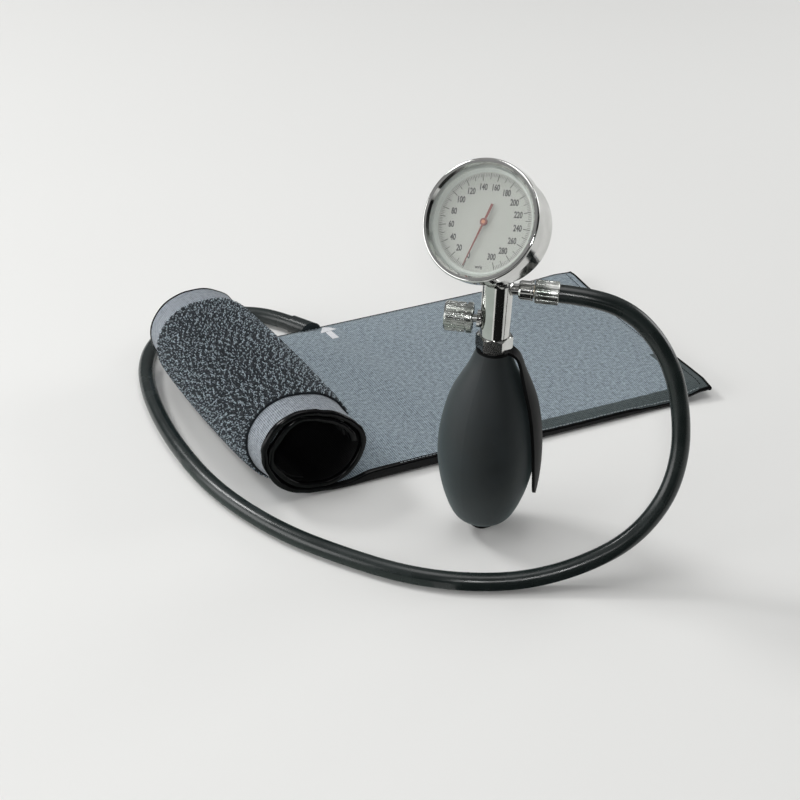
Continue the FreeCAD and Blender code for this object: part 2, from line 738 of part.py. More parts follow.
def make_capsule():
    """The pressure capsule: two waved diaphragms joined at the rim."""
    middle = (capsule_bottom + capsule_top) / 2
    step = (capsule_radius - 4.0) / (2 * capsule_waves)
    top = []
    for wave in range(2 * capsule_waves + 1):
        radius = 3.0 + wave * step
        top.append((radius, capsule_top - 0.25 * (1 - (-1) ** wave) - 0.7 * wave / (2 * capsule_waves)))
    rim = [(capsule_radius, middle + 0.3), (capsule_radius, middle - 0.3)]
    lower = [(radius, 2 * middle - height) for radius, height in reversed(top)]
    outer = [(0, capsule_top)] + top + rim + lower + [(0, capsule_bottom)]
    top_in = [(radius, height - capsule_wall) for radius, height in top]
    lower_in = [(radius, 2 * middle - height) for radius, height in reversed(top_in)]
    hollow = [(0, capsule_top - capsule_wall)] + top_in + lower_in + [(0, capsule_bottom + capsule_wall)]
    capsule = turned(outer).cut(turned(hollow)).cut(cylinder(0.8, capsule_bottom, middle))
    capsule.translate(V(0, -rocker_arm, 0))
    return placed(capsule, gauge_place)


def make_capsule_stud():
    """The domed stud on the capsule's crown that lifts the rocker's arm."""
    arm_drop = rocker_arm * math.sin(math.radians(sector_swing / 2))
    top = rocker_height - arm_drop - 0.4 - stud_gap
    stud = cylinder(stud_flange_radius, capsule_top, capsule_top + 0.3)
    stud = stud.fuse(cylinder(stud_radius, capsule_top, top - stud_radius))
    stud = stud.fuse(Part.makeSphere(stud_radius, V(0, 0, top - stud_radius)))
    stud = stud.common(cylinder(stud_flange_radius, capsule_top, top))
    stud.translate(V(0, -rocker_arm, 0))
    return placed(stud, gauge_place)


def make_capsule_base():
    """The base that carries the capsule and leads the air to it from the stem."""
    base = cylinder(6.0, case_floor, capsule_bottom, 0, -rocker_arm)
    base = base.fuse(cylinder(4.0, case_floor, capsule_bottom, 3.0, -11.0))
    channel_z = (case_floor + capsule_bottom) / 2
    start = V(0, -rocker_arm, channel_z)
    channel = Part.makeCylinder(0.7, 9.2, start, V(3.0, -8.6, 0))
    base = base.cut(channel).cut(cylinder(0.8, channel_z, capsule_bottom, 0, -rocker_arm))
    return placed(base, gauge_place).cut(stem_passage())


# ---------------------------------------------------------------- hose

def hose_points():
    """The route's corners from the nut's end face to the bladder's neck."""
    start = port_place.multVec(V(0, 0, hose_start))
    first_corner = port_place.multVec(V(0, 0, hose_start + hose_straight))
    return [start, first_corner] + [V(*corner) for corner in hose_corners] + [V(*hose_end)]


def make_hose():
    """The hose: straight runs joined by the largest tangent arcs that the runs allow."""
    points = hose_points()
    edges = []
    radii = []
    start = points[0]
    for before, corner, after in zip(points, points[1:], points[2:]):
        back = (before - corner)
        forth = (after - corner)
        reach = arc_share * min(back.Length, forth.Length)
        back.normalize()
        forth.normalize()
        half_angle = back.getAngle(forth) / 2
        radius = reach * math.tan(half_angle)
        first = corner + back * reach
        last = corner + forth * reach
        inward = (back + forth).normalize()
        centre = corner + inward * (reach / math.cos(half_angle))
        middle = centre - inward * radius
        edges.append(Part.LineSegment(start, first).toShape())
        edges.append(Part.Arc(first, middle, last).toShape())
        radii.append(radius)
        start = last
    edges.append(Part.LineSegment(start, points[-1]).toShape())
    route = Part.Wire(edges)
    direction = points[1] - points[0]
    outer = Part.Wire(Part.makeCircle(hose_radius, points[0], direction))
    inner = Part.Wire(Part.makeCircle(hose_bore, points[0], direction))
    tube = route.makePipeShell([outer], True, False).cut(route.makePipeShell([inner], True, False))
    section = math.pi * (hose_radius ** 2 - hose_bore ** 2)
    print("hose length %.1f, volume %.0f, section times length %.0f" % (route.Length, tube.Volume,
                                                                       section * route.Length))
    print("hose arc radii", " ".join("%.0f" % radius for radius in radii))
    return tube


# ---------------------------------------------------------------- cuff

cuff_far = cuff_near + cuff_width
inner_near = cuff_near + binding_width
inner_far = cuff_far - binding_width
rolled_half_turns = 3 + last_turn_angle / 180
pile_half_turns = 1 + (90 + pile_end_angle) / 180


def across(near_value, far_value, y):
    """A value that changes evenly from the cuff's near edge to its far edge."""
    return near_value + (far_value - near_value) * (y - cuff_near) / cuff_width


def section_line(points, y):
    """Straight edges through (x, z) points of the cuff's section."""
    corners = [V(x, y, z) for x, z in points]
    return [Part.makeLine(first, second) for first, second in zip(corners, corners[1:])]


def roll_edges(offset, first_half_turn, last_half_turn, y):
    """The rolled part of the section at an offset inside the outer sheet's face."""
    edges = []
    roll = across(near_roll, far_roll, y)
    outer_radius = across(near_roll_radius, far_roll_radius, y)
    low_centre = pile_thickness + outer_radius
    for half_turn in range(first_half_turn, math.ceil(last_half_turn)):
        radius = outer_radius - roll_step * half_turn - offset
        rising = half_turn % 2 == 0
        centre = V(roll, y, low_centre) if rising else V(roll + roll_flat, y, low_centre + roll_step)
        begin = -math.pi / 2 if rising else math.pi / 2
        span = math.pi * min(last_half_turn - half_turn, 1.0)
        points = []
        for part in (0, 0.5, 1):
            angle = begin - span * part
            points.append(centre + V(radius * math.cos(angle), 0, radius * math.sin(angle)))
        if edges:
            edges.append(Part.makeLine(edges[-1].lastVertex(True).Point, points[0]))
        elif half_turn == 0:
            edges.append(Part.makeLine(points[0] + V(roll_flat, 0, 0), points[0]))
        edges.append(Part.Arc(*points).toShape())
    return edges


def lower_path(start_x, offset, half_turns, y):
    """The section's path at an offset inside the outer face, from a place on the flat part."""
    height = pile_thickness + offset
    meeting = across(near_roll, far_roll, y) + roll_flat
    return section_line([(start_x, height), (meeting, height)], y) + roll_edges(offset, 0, half_turns, y)


def upper_path(start_x, offset, half_turns, y):
    """The path of the patient-side sheet, which rises over the bladder on the flat part."""
    roll = across(near_roll, far_roll, y)
    raised = pile_thickness + sheet + bladder_thickness + offset
    level = pile_thickness + sheet + interlining + offset
    points = [(start_x, raised), (roll + ramp_start, raised), (roll + ramp_end, level), (roll + roll_flat, level)]
    return section_line(points, y) + roll_edges(sheet + interlining + offset, 0, half_turns, y)


def section_wire(first_path, second_path):
    """The closed outline between two paths that start and end side by side."""
    starts = [path[0].firstVertex(True).Point for path in (first_path, second_path)]
    ends = [path[-1].lastVertex(True).Point for path in (first_path, second_path)]
    backwards = [edge.reversed() for edge in reversed(second_path)]
    return Part.Wire(first_path + [Part.makeLine(ends[0], ends[1])] + backwards
                     + [Part.makeLine(starts[1], starts[0])])


def layer(wire_at, near, far):
    """The solid of a layer, from the outlines that wire_at gives at its two edges."""
    return Part.makeLoft([wire_at(near), wire_at(far)], True, True)


def flat_end_at(y):
    """Where the cuff's flat end is at a distance across it."""
    return across(near_flat_end, far_flat_end, y)


def neck_solid(radius, inner_end):
    """A cylinder along the bladder's neck, from the hose's end to a distance across the cuff."""
    outer_end = V(*hose_end)
    inward = (outer_end - V(*hose_corners[-1])).normalize()
    whole = Part.makeCylinder(radius, neck_length, outer_end, inward)
    return whole.cut(box(near_roll, near_flat_end, cuff_near, inner_end, -neck_radius, 3 * neck_radius))


def make_outer_sheet():
    """The outer nylon sheet, from the flat end to the end of the roll."""
    def outline(y):
        return section_wire(lower_path(flat_end_at(y), 0, rolled_half_turns, y),
                            lower_path(flat_end_at(y), sheet, rolled_half_turns, y))
    return layer(outline, inner_near, inner_far)


def make_inner_sheet():
    """The patient-side nylon sheet, which lies over the bladder."""
    def outline(y):
        return section_wire(upper_path(flat_end_at(y), 0, rolled_half_turns, y),
                            upper_path(flat_end_at(y), sheet, rolled_half_turns, y))
    return layer(outline, inner_near, inner_far)


def make_interlining():
    """The stiffening layer between the two sheets of the closing flap."""
    def outline(y):
        start = across(near_roll, far_roll, y) + ramp_end
        return section_wire(lower_path(start, sheet, rolled_half_turns, y),
                            lower_path(start, sheet + interlining, rolled_half_turns, y))
    return layer(outline, inner_near, inner_far)


def make_pile_panel():
    """The pile panel on the outside, which the hooks grip."""
    def outline(y):
        start = across(near_roll, far_roll, y) + pile_flat_reach
        return section_wire(lower_path(start, -pile_thickness, pile_half_turns, y),
                            lower_path(start, 0, pile_half_turns, y))
    return layer(outline, cuff_near + pile_margin, cuff_far - pile_margin)


def make_hook_panel():
    """The hook panel on the inside of the rolled flap's end."""
    outer_offset = sheet + interlining + sheet

    def outline(y):
        return section_wire(roll_edges(outer_offset, 2, rolled_half_turns, y),
                            roll_edges(outer_offset + hook_thickness, 2, rolled_half_turns, y))
    return layer(outline, cuff_near + bladder_margin, cuff_far - bladder_margin)


def make_bladder():
    """The flat rubber bladder between the sheets."""
    bottom = pile_thickness + sheet
    near = cuff_near + bladder_margin
    far = cuff_far - bladder_margin
    corners = []
    for y in (near, far):
        corners.append(V(across(near_roll, far_roll, y) + bladder_start, y, bottom))
        corners.append(V(flat_end_at(y) - bladder_end, y, bottom))
    outline = Part.makePolygon([corners[0], corners[1], corners[3], corners[2], corners[0]])
    flat = Part.Face(outline).extrude(V(0, 0, bladder_thickness))
    upright = [edge for edge in flat.Edges if abs(edge.firstVertex().Z - edge.lastVertex().Z) > 1]
    return flat.makeFillet(bladder_corner, upright)


def make_bladder_neck():
    """The moulded neck: a round part outside the far edge and a flat tongue between the sheets."""
    outer_end = V(*hose_end)
    along = outer_end - V(*hose_corners[-1])
    bladder_far = cuff_far - bladder_margin
    bottom = pile_thickness + sheet
    middle = outer_end + along * ((inner_far - outer_end.y) / along.y)
    tongue = box(middle.x - tongue_half_width, middle.x + tongue_half_width, bladder_far, inner_far,
                 bottom, bottom + bladder_thickness)
    neck = neck_solid(neck_radius, inner_far).cut(neck_solid(hose_bore, inner_far + neck_wall)).fuse(tongue)
    start = V(middle.x, bladder_far, bottom + bladder_thickness / 2)
    return neck.cut(Part.makeCylinder(neck_passage, inner_far + 2 * neck_wall - bladder_far, start, V(0, 1, 0)))


def make_edge_binding():
    """The tape that binds both long edges and the flat end."""
    proud = binding_proud

    def outline(y):
        return section_wire(lower_path(flat_end_at(y), -proud, rolled_half_turns, y),
                            upper_path(flat_end_at(y), sheet + proud, rolled_half_turns, y))

    top = pile_thickness + 2 * sheet + bladder_thickness + proud
    bottom = pile_thickness - proud

    def end_outline(y):
        end = flat_end_at(y)
        corners = [V(end, y, bottom), V(end, y, top), V(end + binding_width, y, top),
                   V(end + binding_width, y, bottom)]
        return Part.makePolygon(corners + corners[:1])

    near_tape = layer(outline, cuff_near, inner_near)
    far_tape = layer(outline, inner_far, cuff_far)
    end_tape = layer(end_outline, cuff_near, cuff_far)
    return near_tape.fuse(far_tape).fuse(end_tape).cut(neck_solid(neck_radius, inner_far))


PARTS = {
    "bulb": make_bulb,
    "inlet_valve_body": make_inlet_body,
    "inlet_ball": make_inlet_ball,
    "inlet_cage": make_inlet_cage,
    "valve_body": make_valve_body,
    "bulb_collar": make_bulb_collar,
    "palm_spoon": make_palm_spoon,
    "outlet_seat": make_outlet_seat,
    "outlet_disc": make_outlet_disc,
    "release_bushing": make_release_bushing,
    "release_plug": make_release_plug,
    "release_spindle": make_release_spindle,
    "release_knob": make_release_knob,
    "tube_connector": make_tube_connector,
    "hose_barb": make_hose_barb,
    "hose_nut": make_hose_nut,
    "gauge_stem": make_gauge_stem,
    "gauge_case": make_gauge_case,
    "bezel_ring": make_bezel_ring,
    "crystal": make_crystal,
    "crystal_gasket": make_crystal_gasket,
    "dial_spacer": make_dial_spacer,
    "dial_plate": make_dial_plate,
    "pointer": make_pointer,
    "pinion_arbor": make_pinion_arbor,
    "sector_gear": make_sector_gear,
    "rocker_shaft": make_rocker_shaft,
    "hairspring": make_hairspring,
    "movement_back_plate": make_back_plate,
    "movement_front_plate": make_front_plate,
    "plate_pillars": make_plate_pillars,
    "movement_posts": make_movement_posts,
    "movement_screws": make_movement_screws,
    "capsule": make_capsule,
    "capsule_stud": make_capsule_stud,
    "capsule_base": make_capsule_base,
    "hose": make_hose,
    "bladder_neck": make_bladder_neck,
    "bladder": make_bladder,
    "cuff_outer_sheet": make_outer_sheet,
    "cuff_inner_sheet": make_inner_sheet,
    "cuff_interlining": make_interlining,
    "pile_panel": make_pile_panel,
    "hook_panel": make_hook_panel,
    "edge_binding": make_edge_binding,
}


def main():
    """Write one STEP file for each piece."""
    os.makedirs("parts", exist_ok=True)
    for name, make in PARTS.items():
        make().exportStep("parts/%s.step" % name)


main()
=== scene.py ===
"""A palm-type aneroid sphygmomanometer: its materials, cloth, hose and dial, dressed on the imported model.

Lengths in the classes are millimetres, as a maker would write them, and the mesh builder turns them to
metres.
"""
import logging
import math
import random
from dataclasses import dataclass
from enum import Enum
from typing import Callable

import bpy
from mathutils import Matrix, Vector


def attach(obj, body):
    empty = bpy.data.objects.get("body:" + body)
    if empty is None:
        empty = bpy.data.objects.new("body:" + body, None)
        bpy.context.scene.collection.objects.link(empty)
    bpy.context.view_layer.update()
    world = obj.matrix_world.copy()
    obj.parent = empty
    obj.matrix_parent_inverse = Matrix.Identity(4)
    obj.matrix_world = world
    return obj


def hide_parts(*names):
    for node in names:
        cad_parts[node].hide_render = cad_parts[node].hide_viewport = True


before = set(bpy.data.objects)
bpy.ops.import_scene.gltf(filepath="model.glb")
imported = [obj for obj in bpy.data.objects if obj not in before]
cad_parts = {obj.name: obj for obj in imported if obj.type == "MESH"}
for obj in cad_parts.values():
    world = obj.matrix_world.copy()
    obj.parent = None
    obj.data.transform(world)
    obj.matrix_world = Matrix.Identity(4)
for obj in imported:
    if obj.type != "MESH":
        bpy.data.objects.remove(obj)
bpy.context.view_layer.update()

logging.basicConfig(level=logging.INFO, format="%(name)s: %(message)s")
log = logging.getLogger("sphygmomanometer")

MM = 0.001
UP = Vector((0.0, 0.0, 1.0))
Point = tuple[float, float, float]
Face = tuple[int, ...]
PathPoint = tuple[float, float, float, float, int, float]


class Body(Enum):
    """The bodies that pieces ride on."""

    INSTRUMENT = "instrument"
    POINTER = "pointer"


# ---------------------------------------------------------------- small tools


def linear(code: str) -> tuple[float, float, float, float]:
    """Turns an sRGB hex colour to linear RGBA.

    Args:
        code: The colour, such as "#7d868c".

    Returns:
        The linear colour with full alpha.
    """
    parts = [int(code[k:k + 2], 16) / 255 for k in (1, 3, 5)]
    values = [c / 12.92 if c <= 0.04045 else ((c + 0.055) / 1.055) ** 2.4 for c in parts]
    return (values[0], values[1], values[2], 1.0)


def smooth(value: float) -> float:
    """Eases a value from 0 to 1, held at both ends."""
    value = min(max(value, 0.0), 1.0)
    return value * value * (3 - 2 * value)


def between(first: float, last: float, share: float) -> float:
    """A value that lies a share of the way from first to last."""
    return first + (last - first) * share


def feed(tree: bpy.types.NodeTree, node: bpy.types.Node, inputs: dict) -> None:
    """Sets or links a node's inputs.

    Args:
        tree: The node tree.
        node: The node whose inputs are fed.
        inputs: Values or sockets by input name or number.
    """
    for key, value in inputs.items():
        if isinstance(value, bpy.types.NodeSocket):
            tree.links.new(value, node.inputs[key])
        else:
            node.inputs[key].default_value = value


def add(tree: bpy.types.NodeTree, kind: str, inputs: dict | None = None, stops: list | None = None,
        **settings: object) -> bpy.types.Node:
    """Adds a node with its settings and links.

    Args:
        tree: The node tree.
        kind: The node's type name.
        inputs: Values or sockets by input name or number.
        stops: For a colour ramp, its (place, hex colour) pairs.
        settings: Properties of the node.

    Returns:
        The new node.
    """
    node = tree.nodes.new(kind)
    for name, value in settings.items():
        setattr(node, name, value)
    feed(tree, node, inputs or {})
    if stops:
        elements = node.color_ramp.elements
        while len(elements) < len(stops):
            elements.new(1.0)
        for element, (place, code) in zip(elements, stops):
            element.position = place
            element.color = linear(code)
    return node


def mesh_piece(name: str, points: list, faces: list[Face], material: bpy.types.Material, body: Body,
               sharp: float = 40.0, uv: list | None = None, place: Matrix | None = None,
               others: dict[int, "Finish"] | None = None) -> bpy.types.Object:
    """Makes a smooth-shaded piece that rides on a body.

    Args:
        name: The piece's name.
        points: Its vertices in millimetres.
        faces: Its faces, as vertex numbers.
        material: Its material.
        body: The body it rides on.
        sharp: Edges that turn by more than this many degrees stay sharp.
        uv: One (along, across) pair in metres for each vertex, for woven materials.
        place: Where the vertices' own frame stands in the model frame, in metres.
        others: The finish of each face that differs from the rest, by face number.

    Returns:
        The object.
    """
    mesh = bpy.data.meshes.new(name)
    corners = [Vector(p) * MM for p in points]
    if place is not None:
        corners = [place @ c for c in corners]
    mesh.from_pydata(corners, [], faces)
    if uv:
        layer = mesh.uv_layers.new(name="Cloth")
        for loop in mesh.loops:
            layer.data[loop.index].uv = uv[loop.vertex_index]
    mesh.shade_smooth()
    mesh.set_sharp_from_angle(angle=math.radians(sharp))
    mesh.materials.append(material)
    finishes = list(dict.fromkeys((others or {}).values()))
    for finish in finishes:
        mesh.materials.append(finish.material())
    for number, finish in (others or {}).items():
        mesh.polygons[number].material_index = 1 + finishes.index(finish)
    piece = bpy.data.objects.new(name, mesh)
    bpy.context.scene.collection.objects.link(piece)
    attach(piece, body.value)
    log.info("%s: %d faces", name, len(faces))
    return piece


def grid_faces(rows: int, columns: int, first: int = 0, turned: bool = False) -> list[Face]:
    """The quads of a grid of vertices, row by row.

    Args:
        rows: How many rows of vertices there are.
        columns: How many vertices each row has.
        first: The number of the first vertex.
        turned: Whether the quads face the other way.

    Returns:
        The faces.
    """
    faces = []
    for row in range(rows - 1):
        for column in range(columns - 1):
            a = first + row * columns + column
            quad = (a, a + 1, a + columns + 1, a + columns)
            faces.append(quad[::-1] if turned else quad)
    return faces


def tube_faces(rings: int, sides: int, first: int = 0, turned: bool = False,
               capped: bool = False) -> list[Face]:
    """The quads between rings of vertices, ring by ring.

    Args:
        rings: How many rings there are.
        sides: How many vertices each ring has.
        first: The number of the first vertex.
        turned: Whether the quads face the other way.
        capped: Whether the first and the last ring are closed.

    Returns:
        The faces.
    """
    faces = []
    for ring in range(rings - 1):
        for k in range(sides):
            a, b = first + ring * sides + k, first + ring * sides + (k + 1) % sides
            faces.append((a, a + sides, b + sides, b) if turned else (a, b, b + sides, a + sides))
    if capped:
        last = first + (rings - 1) * sides
        faces.append(tuple(range(first, first + sides))[::-1])
        faces.append(tuple(range(last, last + sides)))
    return faces


def lathe(name: str, outline: list[tuple[float, float]], segments: int, material: bpy.types.Material,
          body: Body, place: Matrix,
          ridge: Callable[[float, float], float] | None = None) -> bpy.types.Object:
    """Turns an outline of (radius, height) about the Z axis of place.

    Args:
        name: The piece's name.
        outline: The outline from bottom to top, in millimetres.
        segments: How many steps make one turn.
        material: Its material.
        body: The body it rides on.
        place: The axis' frame, in metres.
        ridge: Adds to the radius for an angle and a height.

    Returns:
        The object.
    """
    points = []
    for radius, height in outline:
        for k in range(segments):
            angle = math.tau * k / segments
            out = radius + (ridge(angle, height) if ridge else 0.0)
            points.append((out * math.cos(angle), out * math.sin(angle), height))
    faces = tube_faces(len(outline), segments, capped=True)
    return mesh_piece(name, points, faces, material, body, place=place)


def spline_through(points: list[tuple[float, float]], steps: int) -> list[tuple[float, float]]:
    """A smooth line through points.

    Args:
        points: The points.
        steps: How many steps lie between each two of them.

    Returns:
        The line's points.
    """
    line = []
    count = len(points)
    for k in range(count - 1):
        p0, p1 = points[max(k - 1, 0)], points[k]
        p2, p3 = points[k + 1], points[min(k + 2, count - 1)]
        for step in range(steps):
            t = step / steps
            line.append(tuple(0.5 * ((2 * b) + (c - a) * t + (2 * a - 5 * b + 4 * c - d) * t * t
                                     + (3 * b - a - 3 * c + d) * t ** 3)
                              for a, b, c, d in zip(p0, p1, p2, p3)))
    line.append(points[-1])
    return line


# ---------------------------------------------------------------- finishes


class Finish:
    """A finish that makes one Blender material when it is first asked for."""

    name = "finish"
    _made: dict = {}

    def material(self) -> bpy.types.Material:
        """Makes the finish's material when it is first asked for.

        Returns:
            The material.
        """
        if self not in Finish._made:
            made = bpy.data.materials.new(self.name)
            made.use_nodes = True
            tree = made.node_tree
            tree.nodes.clear()
            shader = add(tree, "ShaderNodeBsdfPrincipled")
            output = add(tree, "ShaderNodeOutputMaterial", {"Surface": shader.outputs["BSDF"]})
            output.is_active_output = True
            self.dress(tree, shader)
            Finish._made[self] = made
        return Finish._made[self]

    def dress(self, tree: bpy.types.NodeTree, shader: bpy.types.Node) -> None:
        """Sets the shader's values and adds the pattern's nodes."""


@dataclass(frozen=True)
class PlatedMetal(Finish):
    """Chromium or nickel over brass: a mirror with faint wipe marks and a slight waviness of the polish."""

    name: str = "polished_chrome_plate"
    colour: str = "#dcdcda"
    wiped: str = "#c9cac7"
    roughness: float = 0.07
    smear: float = 0.06
    wave_mm: float = 9.0
    grain_mm: float = 0.5
    bump: float = 0.004
    depth_mm: float = 0.2

    def dress(self, tree: bpy.types.NodeTree, shader: bpy.types.Node) -> None:
        """Mirror with smears of roughness and a low waviness.

        Args:
            tree: The material's node tree.
            shader: Its shader.
        """
        where = add(tree, "ShaderNodeTexCoord").outputs["Object"]
        smears = add(tree, "ShaderNodeTexNoise", {"Vector": where, "Scale": 1000 / self.wave_mm,
                                                  "Detail": 4.0})
        grain = add(tree, "ShaderNodeTexNoise", {"Vector": where, "Scale": 1000 / self.grain_mm,
                                                 "Detail": 2.0})
        rough = add(tree, "ShaderNodeMapRange", {"Value": smears.outputs["Fac"], 1: 0.35, 2: 0.7,
                                                 3: self.roughness, 4: self.roughness + self.smear})
        tint = add(tree, "ShaderNodeValToRGB", {"Fac": smears.outputs["Fac"]},
                   stops=[(0.3, self.colour), (0.75, self.wiped)])
        relief = add(tree, "ShaderNodeBump", {"Height": grain.outputs["Fac"], "Strength": self.bump,
                                              "Distance": self.depth_mm * MM})
        feed(tree, shader, {"Metallic": 1.0, "Base Color": tint.outputs["Color"],
                            "Roughness": rough.outputs["Result"], "Normal": relief.outputs["Normal"]})


@dataclass(frozen=True)
class SoftRubber(Finish):
    """Moulded rubber: matt, dark, with a fine skin texture and a faint bloom that lightens it in patches."""

    name: str = "moulded_bulb_rubber"
    colour: str = "#12181a"
    bloom: str = "#1a2225"
    roughness: float = 0.62
    uneven: float = 0.06
    skin_mm: float = 0.35
    bloom_mm: float = 14.0
    bump: float = 0.25
    depth_mm: float = 0.15
    sheen: float = 0.24
    sheen_roughness: float = 0.5
    sheen_tint: str = "#c0d8da"
    ior: float = 1.52

    def dress(self, tree: bpy.types.NodeTree, shader: bpy.types.Node) -> None:
        """Dark matt skin with patches of bloom.

        Args:
            tree: The material's node tree.
            shader: Its shader.
        """
        where = add(tree, "ShaderNodeTexCoord").outputs["Object"]
        patches = add(tree, "ShaderNodeTexNoise", {"Vector": where, "Scale": 1000 / self.bloom_mm,
                                                   "Detail": 5.0})
        skin = add(tree, "ShaderNodeTexNoise", {"Vector": where, "Scale": 1000 / self.skin_mm, "Detail": 3.0})
        tint = add(tree, "ShaderNodeValToRGB", {"Fac": patches.outputs["Fac"]},
                   stops=[(0.35, self.colour), (0.75, self.bloom)])
        rough = add(tree, "ShaderNodeMapRange", {"Value": patches.outputs["Fac"], 1: 0.3, 2: 0.7,
                                                 3: self.roughness - self.uneven,
                                                 4: self.roughness + self.uneven})
        relief = add(tree, "ShaderNodeBump", {"Height": skin.outputs["Fac"], "Strength": self.bump,
                                              "Distance": self.depth_mm * MM})
        feed(tree, shader, {"Base Color": tint.outputs["Color"], "Roughness": rough.outputs["Result"],
                            "Normal": relief.outputs["Normal"], "Sheen Weight": self.sheen,
                            "Sheen Roughness": self.sheen_roughness, "Sheen Tint": linear(self.sheen_tint),
                            "IOR": self.ior})


@dataclass(frozen=True)
class MouldedPlastic(Finish):
    """Injection-moulded plastic: a hard even gloss with very slight flow marks."""

    name: str = "gloss_black_plastic"
    colour: str = "#0b0c0e"
    second: str = "#14161a"
    roughness: float = 0.16
    flow_mm: float = 12.0
    bump: float = 0.15
    depth_mm: float = 0.4
    ior: float = 1.53

    def dress(self, tree: bpy.types.NodeTree, shader: bpy.types.Node) -> None:
        """Even gloss with flow marks.

        Args:
            tree: The material's node tree.
            shader: Its shader.
        """
        where = add(tree, "ShaderNodeTexCoord").outputs["Object"]
        flow = add(tree, "ShaderNodeTexNoise", {"Vector": where, "Scale": 1000 / self.flow_mm, "Detail": 3.0})
        tint = add(tree, "ShaderNodeValToRGB", {"Fac": flow.outputs["Fac"]},
                   stops=[(0.3, self.colour), (0.8, self.second)])
        relief = add(tree, "ShaderNodeBump", {"Height": flow.outputs["Fac"], "Strength": self.bump,
                                              "Distance": self.depth_mm * MM})
        feed(tree, shader, {"Base Color": tint.outputs["Color"], "Normal": relief.outputs["Normal"],
                            "Roughness": self.roughness, "IOR": self.ior})


@dataclass(frozen=True)
class WovenNylon(Finish):
    """Plain-woven nylon with a coated back: a fine grid of threads with slubs and a soft sheen.

    The real thread spacing is about 0.35 mm, too fine to show, so it is drawn at thread_mm.
    """

    name: str = "grey_woven_nylon"
    warp: str = "#afbfc8"
    weft: str = "#46515a"
    thread_mm: float = 1.15
    slub_mm: float = 2.2
    slub_weight: float = 1.7
    darkest: float = 0.68
    lightest: float = 1.63
    bump: float = 0.5
    depth_mm: float = 0.3
    roughness: float = 0.72
    sheen: float = 0.25
    sheen_roughness: float = 0.4

    def dress(self, tree: bpy.types.NodeTree, shader: bpy.types.Node) -> None:
        """Two crossed sets of threads with slubs.

        Args:
            tree: The material's node tree.
            shader: Its shader.
        """
        where = add(tree, "ShaderNodeUVMap", uv_map="Cloth").outputs["UV"]
        spacing = math.pi / 10 * 1000 / self.thread_mm
        threads = {"Vector": where, "Scale": spacing, "Distortion": 0.5, "Detail": 1.0, "Detail Scale": 2.0}
        warp, weft = (add(tree, "ShaderNodeTexWave", threads, bands_direction=way) for way in ("X", "Y"))
        weave = add(tree, "ShaderNodeMath", {0: warp.outputs["Fac"], 1: weft.outputs["Fac"]},
                    operation="MULTIPLY")
        slubs = add(tree, "ShaderNodeTexNoise", {"Vector": where, "Scale": 1000 / self.slub_mm, "Detail": 4.0,
                                                 "Roughness": 0.7})
        mixed = add(tree, "ShaderNodeMath", {0: slubs.outputs["Fac"], 1: self.slub_weight,
                                             2: weave.outputs["Value"]}, operation="MULTIPLY_ADD")
        shade = add(tree, "ShaderNodeMapRange", {"Value": mixed.outputs["Value"], 1: self.darkest,
                                                 2: self.lightest, 3: 0.0, 4: 1.0})
        tint = add(tree, "ShaderNodeValToRGB", {"Fac": shade.outputs["Result"]},
                   stops=[(0.0, self.weft), (1.0, self.warp)])
        relief = add(tree, "ShaderNodeBump", {"Height": mixed.outputs["Value"], "Strength": self.bump,
                                              "Distance": self.depth_mm * MM})
        feed(tree, shader, {"Base Color": tint.outputs["Color"], "Normal": relief.outputs["Normal"],
                            "Roughness": self.roughness, "Sheen Weight": self.sheen,
                            "Sheen Roughness": self.sheen_roughness})


@dataclass(frozen=True)
class LoopPile(Finish):
    """The ground under the brushed nylon loops: near-black blue yarn with slightly paler crowns."""

    name: str = "black_loop_pile"
    deep: str = "#0a1219"
    crown: str = "#1b2630"
    loop_mm: float = 1.1
    bump: float = 0.9
    depth_mm: float = 0.8
    roughness: float = 0.8

    def dress(self, tree: bpy.types.NodeTree, shader: bpy.types.Node) -> None:
        """Dark ground with specks at the loops' scale.

        Args:
            tree: The material's node tree.
            shader: Its shader.
        """
        where = add(tree, "ShaderNodeUVMap", uv_map="Cloth").outputs["UV"]
        loops = add(tree, "ShaderNodeTexVoronoi", {"Vector": where, "Scale": 1000 / self.loop_mm,
                                                   "Randomness": 1.0})
        yarn = add(tree, "ShaderNodeTexNoise", {"Vector": where, "Scale": 2000 / self.loop_mm, "Detail": 4.0})
        mixed = add(tree, "ShaderNodeMath", {0: yarn.outputs["Fac"], 1: loops.outputs["Distance"]},
                    operation="SUBTRACT")
        tint = add(tree, "ShaderNodeValToRGB", {"Fac": mixed.outputs["Value"]},
                   stops=[(0.05, self.deep), (0.5, self.crown)])
        relief = add(tree, "ShaderNodeBump", {"Height": mixed.outputs["Value"], "Strength": self.bump,
                                              "Distance": self.depth_mm * MM})
        feed(tree, shader, {"Base Color": tint.outputs["Color"], "Normal": relief.outputs["Normal"],
                            "Roughness": self.roughness})


@dataclass(frozen=True)
class LoopYarn(Finish):
    """The loops' yarn: round nylon filaments with a small gloss; each loop is near-black or pale, and the
    pale ones are painted glints.
    """

    name: str = "loop_yarn_painted_glints"
    dark: str = "#0f1821"
    light: str = "#c6d6df"
    roughness: float = 0.5

    def dress(self, tree: bpy.types.NodeTree, shader: bpy.types.Node) -> None:
        """Yarn whose shade is kept for each loop as a colour."""
        shade = add(tree, "ShaderNodeVertexColor", layer_name="Shade")
        feed(tree, shader, {"Base Color": shade.outputs["Color"], "Roughness": self.roughness})


